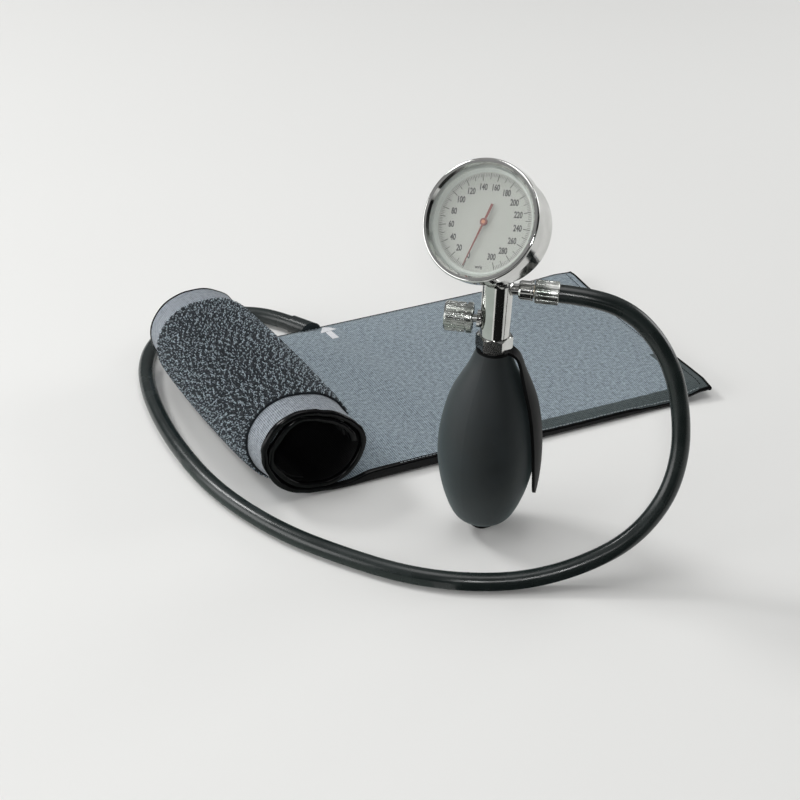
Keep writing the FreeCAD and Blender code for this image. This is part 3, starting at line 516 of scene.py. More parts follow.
@dataclass(frozen=True)
class GlossTape(Finish):
    """Coated binding tape: black, wet-looking, with creases across it."""

    name: str = "gloss_binding_tape"
    colour: str = "#050506"
    worn: str = "#0d0e10"
    crease_mm: float = 3.0
    bump: float = 0.35
    depth_mm: float = 0.6
    roughness: float = 0.13
    ior: float = 1.28

    def dress(self, tree: bpy.types.NodeTree, shader: bpy.types.Node) -> None:
        """Black gloss with creases.

        Args:
            tree: The material's node tree.
            shader: Its shader.
        """
        where = add(tree, "ShaderNodeTexCoord").outputs["Object"]
        crease = add(tree, "ShaderNodeTexNoise", {"Vector": where, "Scale": 1000 / self.crease_mm,
                                                  "Detail": 3.0})
        tint = add(tree, "ShaderNodeValToRGB", {"Fac": crease.outputs["Fac"]},
                   stops=[(0.4, self.colour), (0.8, self.worn)])
        relief = add(tree, "ShaderNodeBump", {"Height": crease.outputs["Fac"], "Strength": self.bump,
                                              "Distance": self.depth_mm * MM})
        feed(tree, shader, {"Base Color": tint.outputs["Color"], "Normal": relief.outputs["Normal"],
                            "Roughness": self.roughness, "IOR": self.ior})


@dataclass(frozen=True)
class DialEnamel(Finish):
    """Silk-painted dial or spacer: an even pale grey with a very fine grain."""

    name: str = "pale_dial_paint"
    colour: str = "#b3b6af"
    second: str = "#acafa8"
    roughness: float = 0.45
    grain_mm: float = 0.4
    bump: float = 0.05
    depth_mm: float = 0.1

    def dress(self, tree: bpy.types.NodeTree, shader: bpy.types.Node) -> None:
        """Even paint with a fine grain.

        Args:
            tree: The material's node tree.
            shader: Its shader.
        """
        where = add(tree, "ShaderNodeTexCoord").outputs["Object"]
        grain = add(tree, "ShaderNodeTexNoise", {"Vector": where, "Scale": 1000 / self.grain_mm,
                                                 "Detail": 3.0})
        tint = add(tree, "ShaderNodeValToRGB", {"Fac": grain.outputs["Fac"]},
                   stops=[(0.3, self.colour), (0.7, self.second)])
        relief = add(tree, "ShaderNodeBump", {"Height": grain.outputs["Fac"], "Strength": self.bump,
                                              "Distance": self.depth_mm * MM})
        feed(tree, shader, {"Base Color": tint.outputs["Color"], "Normal": relief.outputs["Normal"],
                            "Roughness": self.roughness})


@dataclass(frozen=True)
class ClearCrystal(Finish):
    """Clear cast acrylic, polished: almost invisible, with a faint veil and reflection."""

    name: str = "clear_acrylic"
    colour: str = "#f4f6f4"
    wipes_per_metre: float = 60.0
    veil: float = 0.07
    ior: float = 1.49

    def dress(self, tree: bpy.types.NodeTree, shader: bpy.types.Node) -> None:
        """Lets nearly everything through.

        Args:
            tree: The material's node tree.
            shader: Its shader.
        """
        where = add(tree, "ShaderNodeTexCoord").outputs["Object"]
        wipes = add(tree, "ShaderNodeTexNoise", {"Vector": where, "Scale": self.wipes_per_metre,
                                                 "Detail": 3.0})
        rough = add(tree, "ShaderNodeMapRange", {"Value": wipes.outputs["Fac"], 1: 0.4, 2: 0.8,
                                                 3: 0.02, 4: 0.05})
        feed(tree, shader, {"Roughness": rough.outputs["Result"], "Base Color": linear(self.colour),
                            "Alpha": self.veil, "IOR": self.ior})


@dataclass(frozen=True)
class StudioFloor(Finish):
    """Matt paper: the pale floor under the object, and the cards beside it."""

    name: str = "pale_paper_floor"
    colour: str = "#e9e9e7"
    second: str = "#ebebe9"
    clouds_per_metre: float = 2.0
    roughness: float = 0.9
    gloss: float = 0.1
    fade_from: float = 0.8
    fade_to: float = 1.3

    def dress(self, tree: bpy.types.NodeTree, shader: bpy.types.Node) -> None:
        """Matt, with hardly visible clouding; far from the set it is the background's own pale shade.

        Args:
            tree: The material's node tree.
            shader: Its shader.
        """
        where = add(tree, "ShaderNodeTexCoord").outputs["Object"]
        cloud = add(tree, "ShaderNodeTexNoise", {"Vector": where, "Scale": self.clouds_per_metre,
                                                 "Detail": 2.0})
        tint = add(tree, "ShaderNodeValToRGB", {"Fac": cloud.outputs["Fac"]},
                   stops=[(0.3, self.colour), (0.7, self.second)])
        reach = add(tree, "ShaderNodeVectorMath", {0: where}, operation="LENGTH")
        far = add(tree, "ShaderNodeMapRange", {"Value": reach.outputs["Value"], 1: self.fade_from,
                                               2: self.fade_to, 3: 0.0, 4: 1.0})
        seen = add(tree, "ShaderNodeLightPath").outputs["Is Camera Ray"]
        pale = add(tree, "ShaderNodeMath", {0: far.outputs["Result"], 1: seen}, operation="MULTIPLY")
        kept = add(tree, "ShaderNodeMath", {0: 1.0, 1: pale.outputs["Value"]}, operation="SUBTRACT")
        paper = add(tree, "ShaderNodeVectorMath", {0: tint.outputs["Color"], "Scale": kept.outputs["Value"]},
                    operation="SCALE")
        feed(tree, shader, {"Base Color": paper.outputs["Vector"], "Emission Strength": pale.outputs["Value"],
                            "Emission Color": linear(self.colour), "Roughness": self.roughness,
                            "Specular IOR Level": self.gloss})


# Buffed chromium over brass: sharp reflections, nearly free of colour.
CHROME = PlatedMetal()
# Chromium over rolled knurling: its fine teeth break the reflections up to a satin look.
SATIN_CHROME = PlatedMetal(name="satin_chrome_plate", colour="#9aa09a", roughness=0.16, smear=0.1, bump=0.35,
                           grain_mm=0.8)
# Nickel on the fluted nut, its colour darkened to paint in the dark reflections of its flutes, with a few
# soft lights.
NICKEL_PAINTED_DARK = PlatedMetal(name="nickel_plate_painted_dark", colour="#3f4b42", roughness=0.2, smear=0.1, bump=0.08)
# Turned and cut metals of the movement and valves: the tool's marks leave them softly shiny.
STEEL = PlatedMetal(name="turned_steel", colour="#b4b5b4", roughness=0.3, smear=0.12, bump=0.1)
BRASS = PlatedMetal(name="turned_brass", colour="#c6a35a", roughness=0.28, smear=0.14, bump=0.08)
BRONZE = PlatedMetal(name="spring_bronze", colour="#b98555", roughness=0.26, smear=0.12, bump=0.06)
# Moulded natural rubber: matt and blue-black, with a soft pale edge where it is seen along its skin.
BULB_RUBBER = SoftRubber()
# Extruded rubber, wiped clean of its talc: smoother than the bulb, with one long soft light.
HOSE_RUBBER = SoftRubber(name="extruded_hose_rubber", colour="#171e1d", bloom="#1e2625", roughness=0.26,
                         skin_mm=0.6, bump=0.03, sheen=0.05)
# Pressed sheet rubber: plain matt black.
SEAL_RUBBER = SoftRubber(name="seal_rubber", colour="#1c1e20", bloom="#26292b", roughness=0.55, sheen=0.1)
# Moulded silicone: pale and even, with a soft skin.
SILICONE = SoftRubber(name="pale_silicone", colour="#b4bbb5", bloom="#bcc3bd", roughness=0.5, sheen=0.0)
# Moulded ABS with an etched mould: deep black that hardly shines.
SPOON_PLASTIC = MouldedPlastic(name="satin_black_plastic", colour="#050506", second="#0a0b0c", roughness=0.5,
                               ior=1.2)
# Moulded nylon, uncoloured: warm white and slightly waxy.
PLUG_NYLON = MouldedPlastic(name="natural_nylon", colour="#d9d5c6", second="#cfcaba", roughness=0.4)
# Woven cloths and felts: mottled by their slubs, each in the shade of its own side; the hem and roll-inside
# cloths are darkened to paint shade.
NYLON = WovenNylon()
OUTER_NYLON = WovenNylon(name="flap_woven_nylon", warp="#abb3bb", weft="#4c535b")
LINING = WovenNylon(name="stiffening_felt", warp="#2a2c2e", weft="#1b1d1f", thread_mm=1.4, sheen=0.0)
# Darker hem cloth: painted shade along the sloping near edge, and a painted shadow of the hose in the end's
# near corner.
HEM_NYLON_PAINTED_SHADE = WovenNylon(name="hem_nylon_painted_shade", warp="#515c5d", weft="#2b3537", sheen=0.1)
# Black cloth inside the roll: painted shade, where the sheet is the same grey nylon as the flat part.
ROLL_INSIDE_PAINTED_SHADE = WovenNylon(name="black_nylon_roll_painted_shade", warp="#0d0e10", weft="#050506", sheen=0.0, roughness=0.5)
HOOK_TAPE = WovenNylon(name="hook_tape", warp="#17181a", weft="#08090a", thread_mm=1.5, bump=0.8, sheen=0.0)
# The loop panel: a dark ground, with dark yarn standing on it and pale yarn that paints glints on the loops.
PILE = LoopPile()
YARN = LoopYarn()
# Coated tape: its creases catch short wet lights.
TAPE = GlossTape()
# Spun polyester thread: paler than the cloth, dull.
THREAD = MouldedPlastic(name="polyester_thread", colour="#8e989b", second="#a4aeb1", roughness=0.6,
                        flow_mm=2.0)
# Paints and inks of the gauge: even and flat, each with a slight grain.
DIAL_PAINT = DialEnamel()
SPACER_PAINT = DialEnamel(name="grey_spacer_paint", colour="#d3dad4", second="#ccd3cd", roughness=0.35)
DIAL_INK = DialEnamel(name="black_dial_ink", colour="#191b1d", second="#121416", roughness=0.5)
POINTER_PAINT = DialEnamel(name="red_pointer_enamel", colour="#7f2c22", second="#74271e", roughness=0.4)
HUB_PAINT = DialEnamel(name="orange_hub_enamel", colour="#c9855f", second="#c07c57", roughness=0.4)
# Screen print on cloth: chalky white, slightly uneven.
ARROW_PRINT = DialEnamel(name="white_screen_print", colour="#e6e7ea", second="#d5d7da", roughness=0.7,
                         grain_mm=0.9)
# Polished acrylic: only a veil over the dial.
CRYSTAL = ClearCrystal()
# Matt papers: no shine of their own.
FLOOR = StudioFloor()
BLACK_CARD = StudioFloor(name="black_card", colour="#0c0c0c", second="#101010")
GREY_CARD = StudioFloor(name="grey_card", colour="#b0b8b2", second="#b8c0ba")


# ---------------------------------------------------------------- where the bulb unit stands


@dataclass(frozen=True)
class Stance:
    """The places of the bulb unit and of its gauge in the model frame."""

    heading: float = -32.0
    lean: float = 2.1
    gauge_centre: Point = (-8.2, -6.0, 181.8)
    gauge_turn: float = -24.5
    gauge_tilt: float = 56.0
    gauge_roll: float = 12.5

    def unit(self) -> Matrix:
        """The frame of the bulb unit: Z up its axis, X towards the hose's side."""
        turn = Matrix.Rotation(math.radians(self.heading), 4, "Z")
        return turn @ Matrix.Rotation(math.radians(self.lean), 4, "Y")

    def gauge(self) -> Matrix:
        """The frame of the gauge: Z out of its dial, Y towards the top of the dial.

        Returns:
            The frame, in metres.
        """
        turned = (Matrix.Rotation(math.radians(self.gauge_turn), 4, "Z")
                  @ Matrix.Rotation(math.radians(self.gauge_tilt), 4, "X")
                  @ Matrix.Rotation(math.radians(self.gauge_roll), 4, "Z"))
        return self.unit() @ Matrix.Translation(Vector(self.gauge_centre) * MM) @ turned


STANCE = Stance()


# ---------------------------------------------------------------- hose


@dataclass(frozen=True)
class Hose:
    """The one rubber tube, from the nut on the valve body round to the bladder's neck under the cuff."""

    radius: float = 4.7
    length: float = 0.683
    exit: Point = (30.22581, -18.88718, 142.38959)
    far_end: Point = (-17.0, 231.0, 5.5)

    def route(self) -> list[Point]:
        """The control points of the tube's line.

        Returns:
            The points, from the nut to the bladder's neck.
        """
        return [self.exit, (40.3956, -25.2419, 141.9499), (57.0, -35.0, 137.0), (69.0, -44.0, 125.5),
                (76.5, -54.5, 108.0), (78.0, -63.0, 87.0), (75.0, -70.5, 65.0), (65.0, -75.0, 43.5),
                (46.0, -74.5, 24.0), (20.5, -67.5, 11.0), (-6.5, -59.0, 4.7), (-36.0, -46.5, 4.7),
                (-60.0, -27.5, 4.7), (-80.0, -2.5, 4.7), (-98.0, 24.0, 4.7), (-111.5, 53.5, 4.7),
                (-121.0, 86.0, 4.7), (-125.0, 120.5, 4.7), (-125.5, 155.0, 4.7), (-122.5, 190.0, 4.7),
                (-115.0, 221.5, 4.7), (-101.5, 244.5, 4.7), (-81.5, 258.5, 4.7), (-59.5, 262.0, 4.7),
                (-39.5, 256.5, 4.9), (-25.0, 244.5, 5.5), self.far_end]

    def build(self) -> bpy.types.Object:
        """Returns:
            The tube.
        """
        curve = bpy.data.curves.new("rubber_hose", "CURVE")
        curve.dimensions = "3D"
        curve.bevel_depth = self.radius * MM
        curve.bevel_resolution = 8
        curve.resolution_u = 10
        curve.use_fill_caps = True
        spline = curve.splines.new("NURBS")
        points = self.route()
        spline.points.add(len(points) - 1)
        for control, point in zip(spline.points, points):
            control.co = (*(Vector(point) * MM), 1.0)
        spline.order_u = 3
        spline.use_endpoint_u = True
        curve.materials.append(HOSE_RUBBER.material())
        hose = bpy.data.objects.new("rubber_hose", curve)
        bpy.context.scene.collection.objects.link(hose)
        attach(hose, Body.INSTRUMENT.value)
        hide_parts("hose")
        log.info("hose: %d control points", len(points))
        return hose


# ---------------------------------------------------------------- bulb


@dataclass(frozen=True)
class Bulb:
    """The moulded rubber bulb with its two mould seams and the roll at its neck."""

    outline: tuple = ((4.6, 4.45), (7.0, 4.4), (16.0, 11.0), (23.2, 31.0), (25.4, 54.0), (21.3, 79.0),
                      (12.6, 98.0), (8.8, 108.0))
    neck_bore: tuple = ((6.3, 108.0), (6.3, 104.0))
    seam_turn: float = 65.0
    seam_height: float = 0.06
    seam_width: float = 0.02
    steps: int = 14
    segments: int = 240

    def seam(self, angle: float, height: float) -> float:
        """The seam's height above the skin: two fine lines along the bulb."""
        off = abs(math.sin(angle - math.radians(self.seam_turn)))
        return self.seam_height * math.exp(-(off / self.seam_width) ** 2)

    def build(self) -> bpy.types.Object:
        """Makes the bulb's skin over its solid.

        Returns:
            The skin.
        """
        line = [self.outline[0], *spline_through(list(self.outline[1:]), self.steps), *self.neck_bore]
        skin = lathe("bulb_skin", line, self.segments, BULB_RUBBER.material(), Body.INSTRUMENT, STANCE.unit(),
                     self.seam)
        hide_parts("bulb")
        return skin


# ---------------------------------------------------------------- dial


@dataclass(frozen=True)
class Dial:
    """The printed scale of the gauge: 0 to 300 in steps of 2, with a figure every 20."""

    scale_end: int = 300
    step: int = 2
    figure_step: int = 20
    tick_sizes: tuple = ((20, 3.6, 0.17), (10, 2.9, 0.14), (2, 1.6, 0.09))
    rest_angle: float = 20.0
    sweep: float = 320.0
    ring_radius: float = 24.0
    figure_radius: float = 17.5
    figure_height: float = 3.3
    figure_squeeze: float = 0.68
    figure_weight: float = 0.032
    unit_radius: float = 22.0
    unit_height: float = 1.9
    ink: float = 0.03
    hub_outline: tuple = ((0.95, 1.8), (0.95, 1.88), (0.7, 1.94))
    hub_segments: int = 24

    def angle(self, value: float) -> float:
        """The angle of a value on the scale, in radians, anticlockwise from the dial's right."""
        return math.radians(-90 - self.rest_angle - self.sweep * value / self.scale_end)

    def ticks(self) -> bpy.types.Object:
        """The scale's lines, longer at 10 and longest at 20.

        Returns:
            All the lines as one piece.
        """
        points, faces = [], []
        for value in range(0, self.scale_end + 1, self.step):
            length, width = next(size[1:] for size in self.tick_sizes if value % size[0] == 0)
            along = Vector((math.cos(self.angle(value)), math.sin(self.angle(value)), 0.0))
            side = Vector((-along.y, along.x, 0.0)) * width
            first = len(points)
            for radius in (self.ring_radius - length, self.ring_radius):
                for sign in (-1, 1):
                    points.append(tuple(along * radius + side * sign + UP * self.ink))
            faces.append((first, first + 1, first + 3, first + 2))
        return mesh_piece("dial_scale", points, [face[::-1] for face in faces], DIAL_INK.material(),
                          Body.INSTRUMENT, place=STANCE.gauge())

    def lettering(self, text: str, height: float, place: Vector) -> tuple[list, list]:
        """The flat mesh of one figure.

        Args:
            text: The characters.
            height: The height of the characters.
            place: Where the middle of the text stands on the dial.

        Returns:
            The vertices and the faces.
        """
        font = bpy.data.curves.new("figure", "FONT")
        font.body = text
        font.align_x = "CENTER"
        font.align_y = "CENTER"
        font.resolution_u = 3
        font.offset = self.figure_weight
        holder = bpy.data.objects.new("figure", font)
        mesh = bpy.data.meshes.new_from_object(holder)
        heights = [v.co.y for v in mesh.vertices]
        top, bottom = max(heights), min(heights)
        middle, scale = (top + bottom) / 2, height / (top - bottom)
        points = [(v.co.x * scale * self.figure_squeeze + place.x, (v.co.y - middle) * scale + place.y,
                   self.ink) for v in mesh.vertices]
        faces = [tuple(p.vertices) for p in mesh.polygons]
        bpy.data.meshes.remove(mesh)
        bpy.data.objects.remove(holder)
        bpy.data.curves.remove(font)
        return points, faces

    def figures(self) -> bpy.types.Object:
        """The figures and the unit.

        Returns:
            All of them as one piece.
        """
        points, faces = [], []
        texts = [(str(value), self.figure_height, self.angle(value), self.figure_radius)
                 for value in range(0, self.scale_end + 1, self.figure_step)]
        texts.append(("mmHg", self.unit_height, math.radians(-90), self.unit_radius))
        for text, height, angle, radius in texts:
            place = Vector((math.cos(angle), math.sin(angle), 0.0)) * radius
            new_points, new_faces = self.lettering(text, height, place)
            faces += [tuple(k + len(points) for k in face) for face in new_faces]
            points += new_points
        return mesh_piece("dial_figures", points, faces, DIAL_INK.material(), Body.INSTRUMENT,
                          place=STANCE.gauge())

    def hub(self) -> bpy.types.Object:
        """The dot of pale enamel on the pointer's hub."""
        return lathe("pointer_hub_enamel", list(self.hub_outline), self.hub_segments, HUB_PAINT.material(),
                     Body.POINTER, STANCE.gauge())

    def build(self) -> None:
        """Prints the scale and the figures on the dial plate and dots the pointer's hub."""
        for piece in (self.ticks(), self.figures()):
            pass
        self.hub()


# ---------------------------------------------------------------- cuff


@dataclass(frozen=True)
class Layer:
    """One layer of the cuff: how far its two faces lie inside the outer face, and how far it reaches."""

    name: str
    outside: Callable[[int, float], float]
    inside: Callable[[int, float], float]
    first: int
    last: int
    near: float
    far: float
    zone: Callable[[int, float], "Finish | None"] | None = None


@dataclass(frozen=True)
class Loops:
    """The sizes of the pile's loops in millimetres, drawn between two, and the play of their shades, whose
    pale loops are painted glints.
    """

    seed: int = 41
    spacing: float = 1.0
    row_gap: float = 0.85
    margin: float = 0.3
    scatter: float = 0.4
    sunk: float = 0.05
    table_gap: float = 1.6
    rings: int = 4
    sides: int = 3
    span: tuple[float, float] = (0.3, 0.45)
    height: tuple[float, float] = (0.6, 1.0)
    yarn: tuple[float, float] = (0.19, 0.26)
    lean: float = 0.5
    row_step: float = 0.5698
    loop_step: float = 0.7549
    bright_share: float = 0.3
    bright: tuple[float, float] = (0.5, 1.0)
    dull: tuple[float, float] = (0.0, 0.08)

    def arch(self, root: Vector, out: Vector, phase: float,
             chance: random.Random) -> tuple[list[Point], float]:
        """One loop: a small arch of yarn, turned and leant by chance.

        Args:
            root: The middle of its foot.
            out: The way that it stands.
            phase: Its place in the play of shades, in turns.
            chance: What its sizes are drawn from.

        Returns:
            Its vertices, and its shade from dark to light; a light shade paints a glint.
        """
        across = Vector((0.0, 1.0, 0.0))
        tangent = out.cross(across).normalized()
        turn = chance.uniform(0.0, math.pi)
        lie = tangent * math.cos(turn) + across * math.sin(turn)
        sideways = out.cross(lie).normalized()
        lean = sideways * chance.uniform(-self.lean, self.lean)
        span, height = chance.uniform(*self.span), chance.uniform(*self.height)
        yarn = chance.uniform(*self.yarn)
        # About a third of the loops get a pale shade: painted glints, light caught on the yarn.
        bright = (phase + chance.uniform(-0.08, 0.08)) % 1.0 < self.bright_share
        shade = chance.uniform(*(self.bright if bright else self.dull))
        points = []
        for ring in range(self.rings):
            arc = math.pi * ring / (self.rings - 1)
            centre = root + lie * span * math.cos(arc) + (out + lean) * height * math.sin(arc)
            radial = lie * math.cos(arc) + out * math.sin(arc)
            for k in range(self.sides):
                angle = math.tau * k / self.sides
                points.append(tuple(centre + radial * yarn * math.cos(angle)
                                    + sideways * yarn * math.sin(angle)))
        return points, shade


@dataclass
class Cuff:
    """The nylon cuff: a flat part over the bladder and a closing flap, rolled up with its loop panel out.

    A section across the cuff is a path from the flat end to the inner end of the roll. Every layer keeps its
    own distance from that path, and one smooth settling of the whole stack shapes the roll, the rims and the
    flat part.
    """

    near: float = 60.0
    width: float = 161.0
    near_end: float = 180.4
    far_end: float = 170.9
    near_roll: float = -74.0
    far_roll: float = -87.4
    near_radius: float = 26.5
    far_radius: float = 24.7
    flat: float = 6.5
    step: float = 1.5
    pile: float = 1.2
    sheet: float = 0.7
    lining: float = 1.0
    padding: float = 3.8
    hem: float = 8.5
    hem_share: float = 0.62
    hem_corner: float = 48.0
    hem_corner_points: int = 6
    belly_least: float = -1.2
    belly_rise: float = 5.2
    belly_reach: float = 34.0
    corner_lift: float = 4.0
    corner_draw: float = 2.7
    far_corner_lift: float = 1.5
    swell_height: float = 1.1
    ripple_height: float = 0.5
    pucker_height: float = 0.08
    pucker_pitch: float = 9.5
    table_gap: float = 0.12
    cloth_margin: float = 0.6
    lining_margin: float = 2.5
    inner_margin: float = 8.0
    panel_margin: float = 19.5
    panel_first: int = 14
    panel_end_degrees: float = 140.0
    stitch_pitch: float = 2.2
    stitch_cover: float = 0.8
    stitch_profile: tuple = ((-0.5, 0.3), (-0.36, 1.0), (0.36, 1.0), (0.5, 0.3))
    flat_steps: int = 110
    arc_degrees: float = 6.0
    across_steps: int = 81

    def across(self, near_value: float, far_value: float, y: float) -> float:
        """A value that changes evenly from the near edge to the far edge."""
        return between(near_value, far_value, (y - self.near) / self.width)

    def path(self, y: float) -> list[PathPoint]:
        """The section at y, from the flat end to the inner end of the roll.

        Args:
            y: The place across the cuff.

        Returns:
            For each point its x, z, inward normal (two numbers), half-turn number and angle.
        """
        roll = self.across(self.near_roll, self.far_roll, y)
        radius = self.across(self.near_radius, self.far_radius, y)
        end = self.across(self.near_end, self.far_end, y)
        low = self.pile + radius
        points = []
        for k in range(self.flat_steps):
            x = between(end, roll + self.flat, k / self.flat_steps)
            points.append((x, self.pile, 0.0, 1.0, -1, 0.0))
        for half in range(4):
            rising = half % 2 == 0
            centre_x = roll if rising else roll + self.flat
            centre_z = low if rising else low + self.step
            begin = -90.0 if rising else 90.0
            span = 180.0 if half < 3 else 90.0
            own = radius - self.step * half
            count = round(span / self.arc_degrees)
            for k in range(count + 1):
                angle = math.radians(begin - span * k / count)
                cosine, sine = math.cos(angle), math.sin(angle)
                points.append((centre_x + own * cosine, centre_z + own * sine, -cosine, -sine, half, angle))
        return points

    def half_turn_start(self, half: int) -> int:
        """The number of the path's point at which a half-turn starts."""
        return self.flat_steps + half * (round(180 / self.arc_degrees) + 1)

    @property
    def path_count(self) -> int:
        """How many points the path has."""
        return self.half_turn_start(3) + round(90 / self.arc_degrees) + 1

    def rim_shape(self, angle: float, near: bool) -> float:
        """How far a rim of the roll stands out from a true round.

        Args:
            angle: The angle about the roll's middle, in radians.
            near: Whether it is the near rim.

        Returns:
            The height in millimetres.
        """
        degrees = math.degrees(angle) % 360
        if near:
            table = ((0, 1.7), (15, 0.8), (28, -1.2), (45, -2.5), (73, -2.4), (90, 0.0), (110, 0.9),
                     (130, 1.1), (160, 0.1), (175, -1.7), (200, -3.5), (225, -3.2), (250, -2.6), (270, -1.2),
                     (300, 0.4), (320, 1.0), (345, 1.3), (360, 1.7))
        else:
            table = ((0, 1.6), (30, 0.2), (55, -1.3), (90, -1.2), (120, -2.2), (150, -2.6), (180, -2.2),
                     (210, -1.8), (250, -0.8), (270, 0.0), (320, 0.4), (360, 1.6))
        for (a, first), (b, last) in zip(table, table[1:]):
            if a <= degrees <= b:
                return between(first, last, smooth((degrees - a) / (b - a)))
        return 0.0

    def belly(self, off: float, share: float) -> float:
        """How far the roll's side bulges.

        Args:
            off: The distance along x from the roll's middle, with its sign.
            share: The share of the cuff's width.

        Returns:
            The shift along x.
        """
        round_share = math.sin(math.pi * min(max(share * 0.92 + 0.04, 0.0), 1.0)) ** 1.1
        bulge = self.belly_least + self.belly_rise * round_share * (0.62 + 0.38 * share)
        reach = abs(off)
        if reach >= self.belly_reach:
            reach = self.belly_reach * max(1 - (abs(off) - self.belly_reach) / 40.0, 0.0)
        return math.copysign(reach * bulge / 30.0 * 0.75, off)

    def near_corner(self, x: float, y: float) -> float:
        """How much of the near corner's lift reaches (x, y), from 0 to 1."""
        return smooth((x - 150.0) / 28.0) * math.exp(-((y - self.near) / 22.0) ** 2)

    def lift(self, x: float, y: float) -> float:
        """How far the flat part lifts: its two corners, a swell, a ripple and the pucker of the near edge.

        Args:
            x: The place along the cuff.
            y: The place across it.

        Returns:
            The lift.
        """
        far_calm = smooth((self.near + self.width - y) / 45.0)
        near_calm = smooth((y - self.near) / 30.0)
        far_corner = self.far_corner_lift * smooth((x - 140.0) / 30.0) * smooth((y - 195.0) / 26.0)
        swell = self.swell_height * math.exp(-((x + 10.0) / 40.0) ** 2) * (1 + math.sin(x / 8.5 + y / 21.0))
        ripple = self.ripple_height * (1 + math.sin(x / 17.0 - y / 33.0)) * smooth((x + 30.0) / 50.0)
        pucker = self.pucker_height * math.exp(-((y - self.near) / 9.0) ** 2)
        wave = 1 + math.sin(x * math.tau / self.pucker_pitch + 0.7 * math.sin(x / 13.0))
        return (self.corner_lift * self.near_corner(x, y) + far_corner + swell * near_calm * far_calm
                + ripple * near_calm * far_calm + pucker * wave)

    def settle(self, x: float, y: float, z: float) -> Point:
        """Shapes the stack as it lies: the roll's belly and rims, and the lifts of the flat part.

        Args:
            x: A point's place along the cuff.
            y: Its place across the cuff.
            z: Its height.

        Returns:
            The settled point.
        """
        share = (y - self.near) / self.width
        roll = self.across(self.near_roll, self.far_roll, y)
        radius = self.across(self.near_radius, self.far_radius, y)
        off, rise = x - (roll + self.flat / 2), z - (self.pile + radius)
        distance, angle = math.hypot(rise, off), math.atan2(rise, off)
        hold = 1 - smooth((distance - 31.0) / 12.0)
        inner = smooth(distance / 12.0)
        near_rim = math.exp(-(share / 0.13) ** 2)
        far_rim = math.exp(-((1 - share) / 0.10) ** 2)
        out = self.rim_shape(angle, True) * near_rim + self.rim_shape(angle, False) * far_rim
        out *= hold * inner
        clear = smooth((x - (roll + 36.0)) / 30.0)
        new_x = x + self.belly(off, share) + out * math.cos(angle) - self.corner_draw * self.near_corner(x, y)
        new_z = z + out * math.sin(angle) + self.lift(x, y) * clear
        return (new_x, y, max(new_z, self.table_gap))

    def curl(self, point: PathPoint, y: float) -> float:
        """How far the inner turn sags inwards, in waves that are deepest at the rims.

        Args:
            point: A point of the path.
            y: Its place across the cuff.

        Returns:
            The sag.
        """
        half, angle = point[4], point[5]
        if half < 2:
            return 0.0
        share = (y - self.near) / self.width
        rim = math.exp(-(share / 0.12) ** 2) + math.exp(-((1 - share) / 0.12) ** 2)
        start = smooth((-90.0 - math.degrees(angle)) / 50.0) if half == 2 else 1.0
        wave = 1 + 0.8 * math.sin(3 * angle + 0.8) + 0.5 * math.sin(5 * angle + 2.0)
        return start * (0.25 + 0.9 * rim) * wave

    def at(self, point: PathPoint, y: float, offset: float) -> Point:
        """The settled place of a point of the path, at an offset inside the outer face."""
        inward = offset + self.curl(point, y)
        return self.settle(point[0] + point[2] * inward, y, point[1] + point[3] * inward)

    def top_offset(self, number: int, y: float) -> float:
        """How far the patient-side sheet's lower face lies inside the outer face.

        Args:
            number: The number of a point of the path.
            y: Its place across the cuff.

        Returns:
            The offset.
        """
        flap = self.sheet + self.lining
        if number >= self.flat_steps:
            return flap
        from_end = number / self.flat_steps
        x_end = self.across(self.near_end, self.far_end, y)
        x_roll = self.across(self.near_roll, self.far_roll, y) + self.flat
        x = between(x_end, x_roll, from_end)
        break_line = self.hem + 0.5 * math.sin(x / 3.1) + 0.4 * math.sin(x / 1.7 + 1.0)
        near_edge = between(1.0, 0.37, smooth((x - 5.0) / 80.0))
        near_edge *= 1 - 0.85 * smooth((x - 117.0) / 32.0)
        near_swell = between(near_edge, 1.0, min((y - self.near) / break_line, 1.0))
        far_swell = between(0.7, 1.0, smooth((self.near + self.width - y) / 6.0))
        end_swell = between(0.55, 1.0, smooth((x_end - x) / 14.0))
        swell = near_swell * far_swell * end_swell
        crown = 0.6 * math.sin(math.pi * (y - self.near) / self.width) * smooth((x_end - x) / 40.0)
        ramp = smooth((x - (x_roll + 14.0)) / 16.0)
        padded = self.sheet + (self.padding + crown) * swell
        return between(flap, padded, ramp)

    def upper_offset(self, number: int, y: float) -> float:
        """How far the patient-side sheet's upper face lies inside the outer face."""
        return self.top_offset(number, y) + self.sheet

    def stations(self, near: float, far: float, count: int) -> list[float]:
        """Evenly spaced places across the cuff."""
        return [between(near, far, k / (count - 1)) for k in range(count)]

    def lengths(self, y: float) -> list[float]:
        """How far along the cloth each point of the path lies.

        Args:
            y: The place across the cuff.

        Returns:
            The distances from the flat end, in metres.
        """
        path = self.path(y)
        total = [0.0]
        for before, after in zip(path, path[1:]):
            total.append(total[-1] + math.hypot(after[0] - before[0], after[1] - before[1]) * MM)
        return total

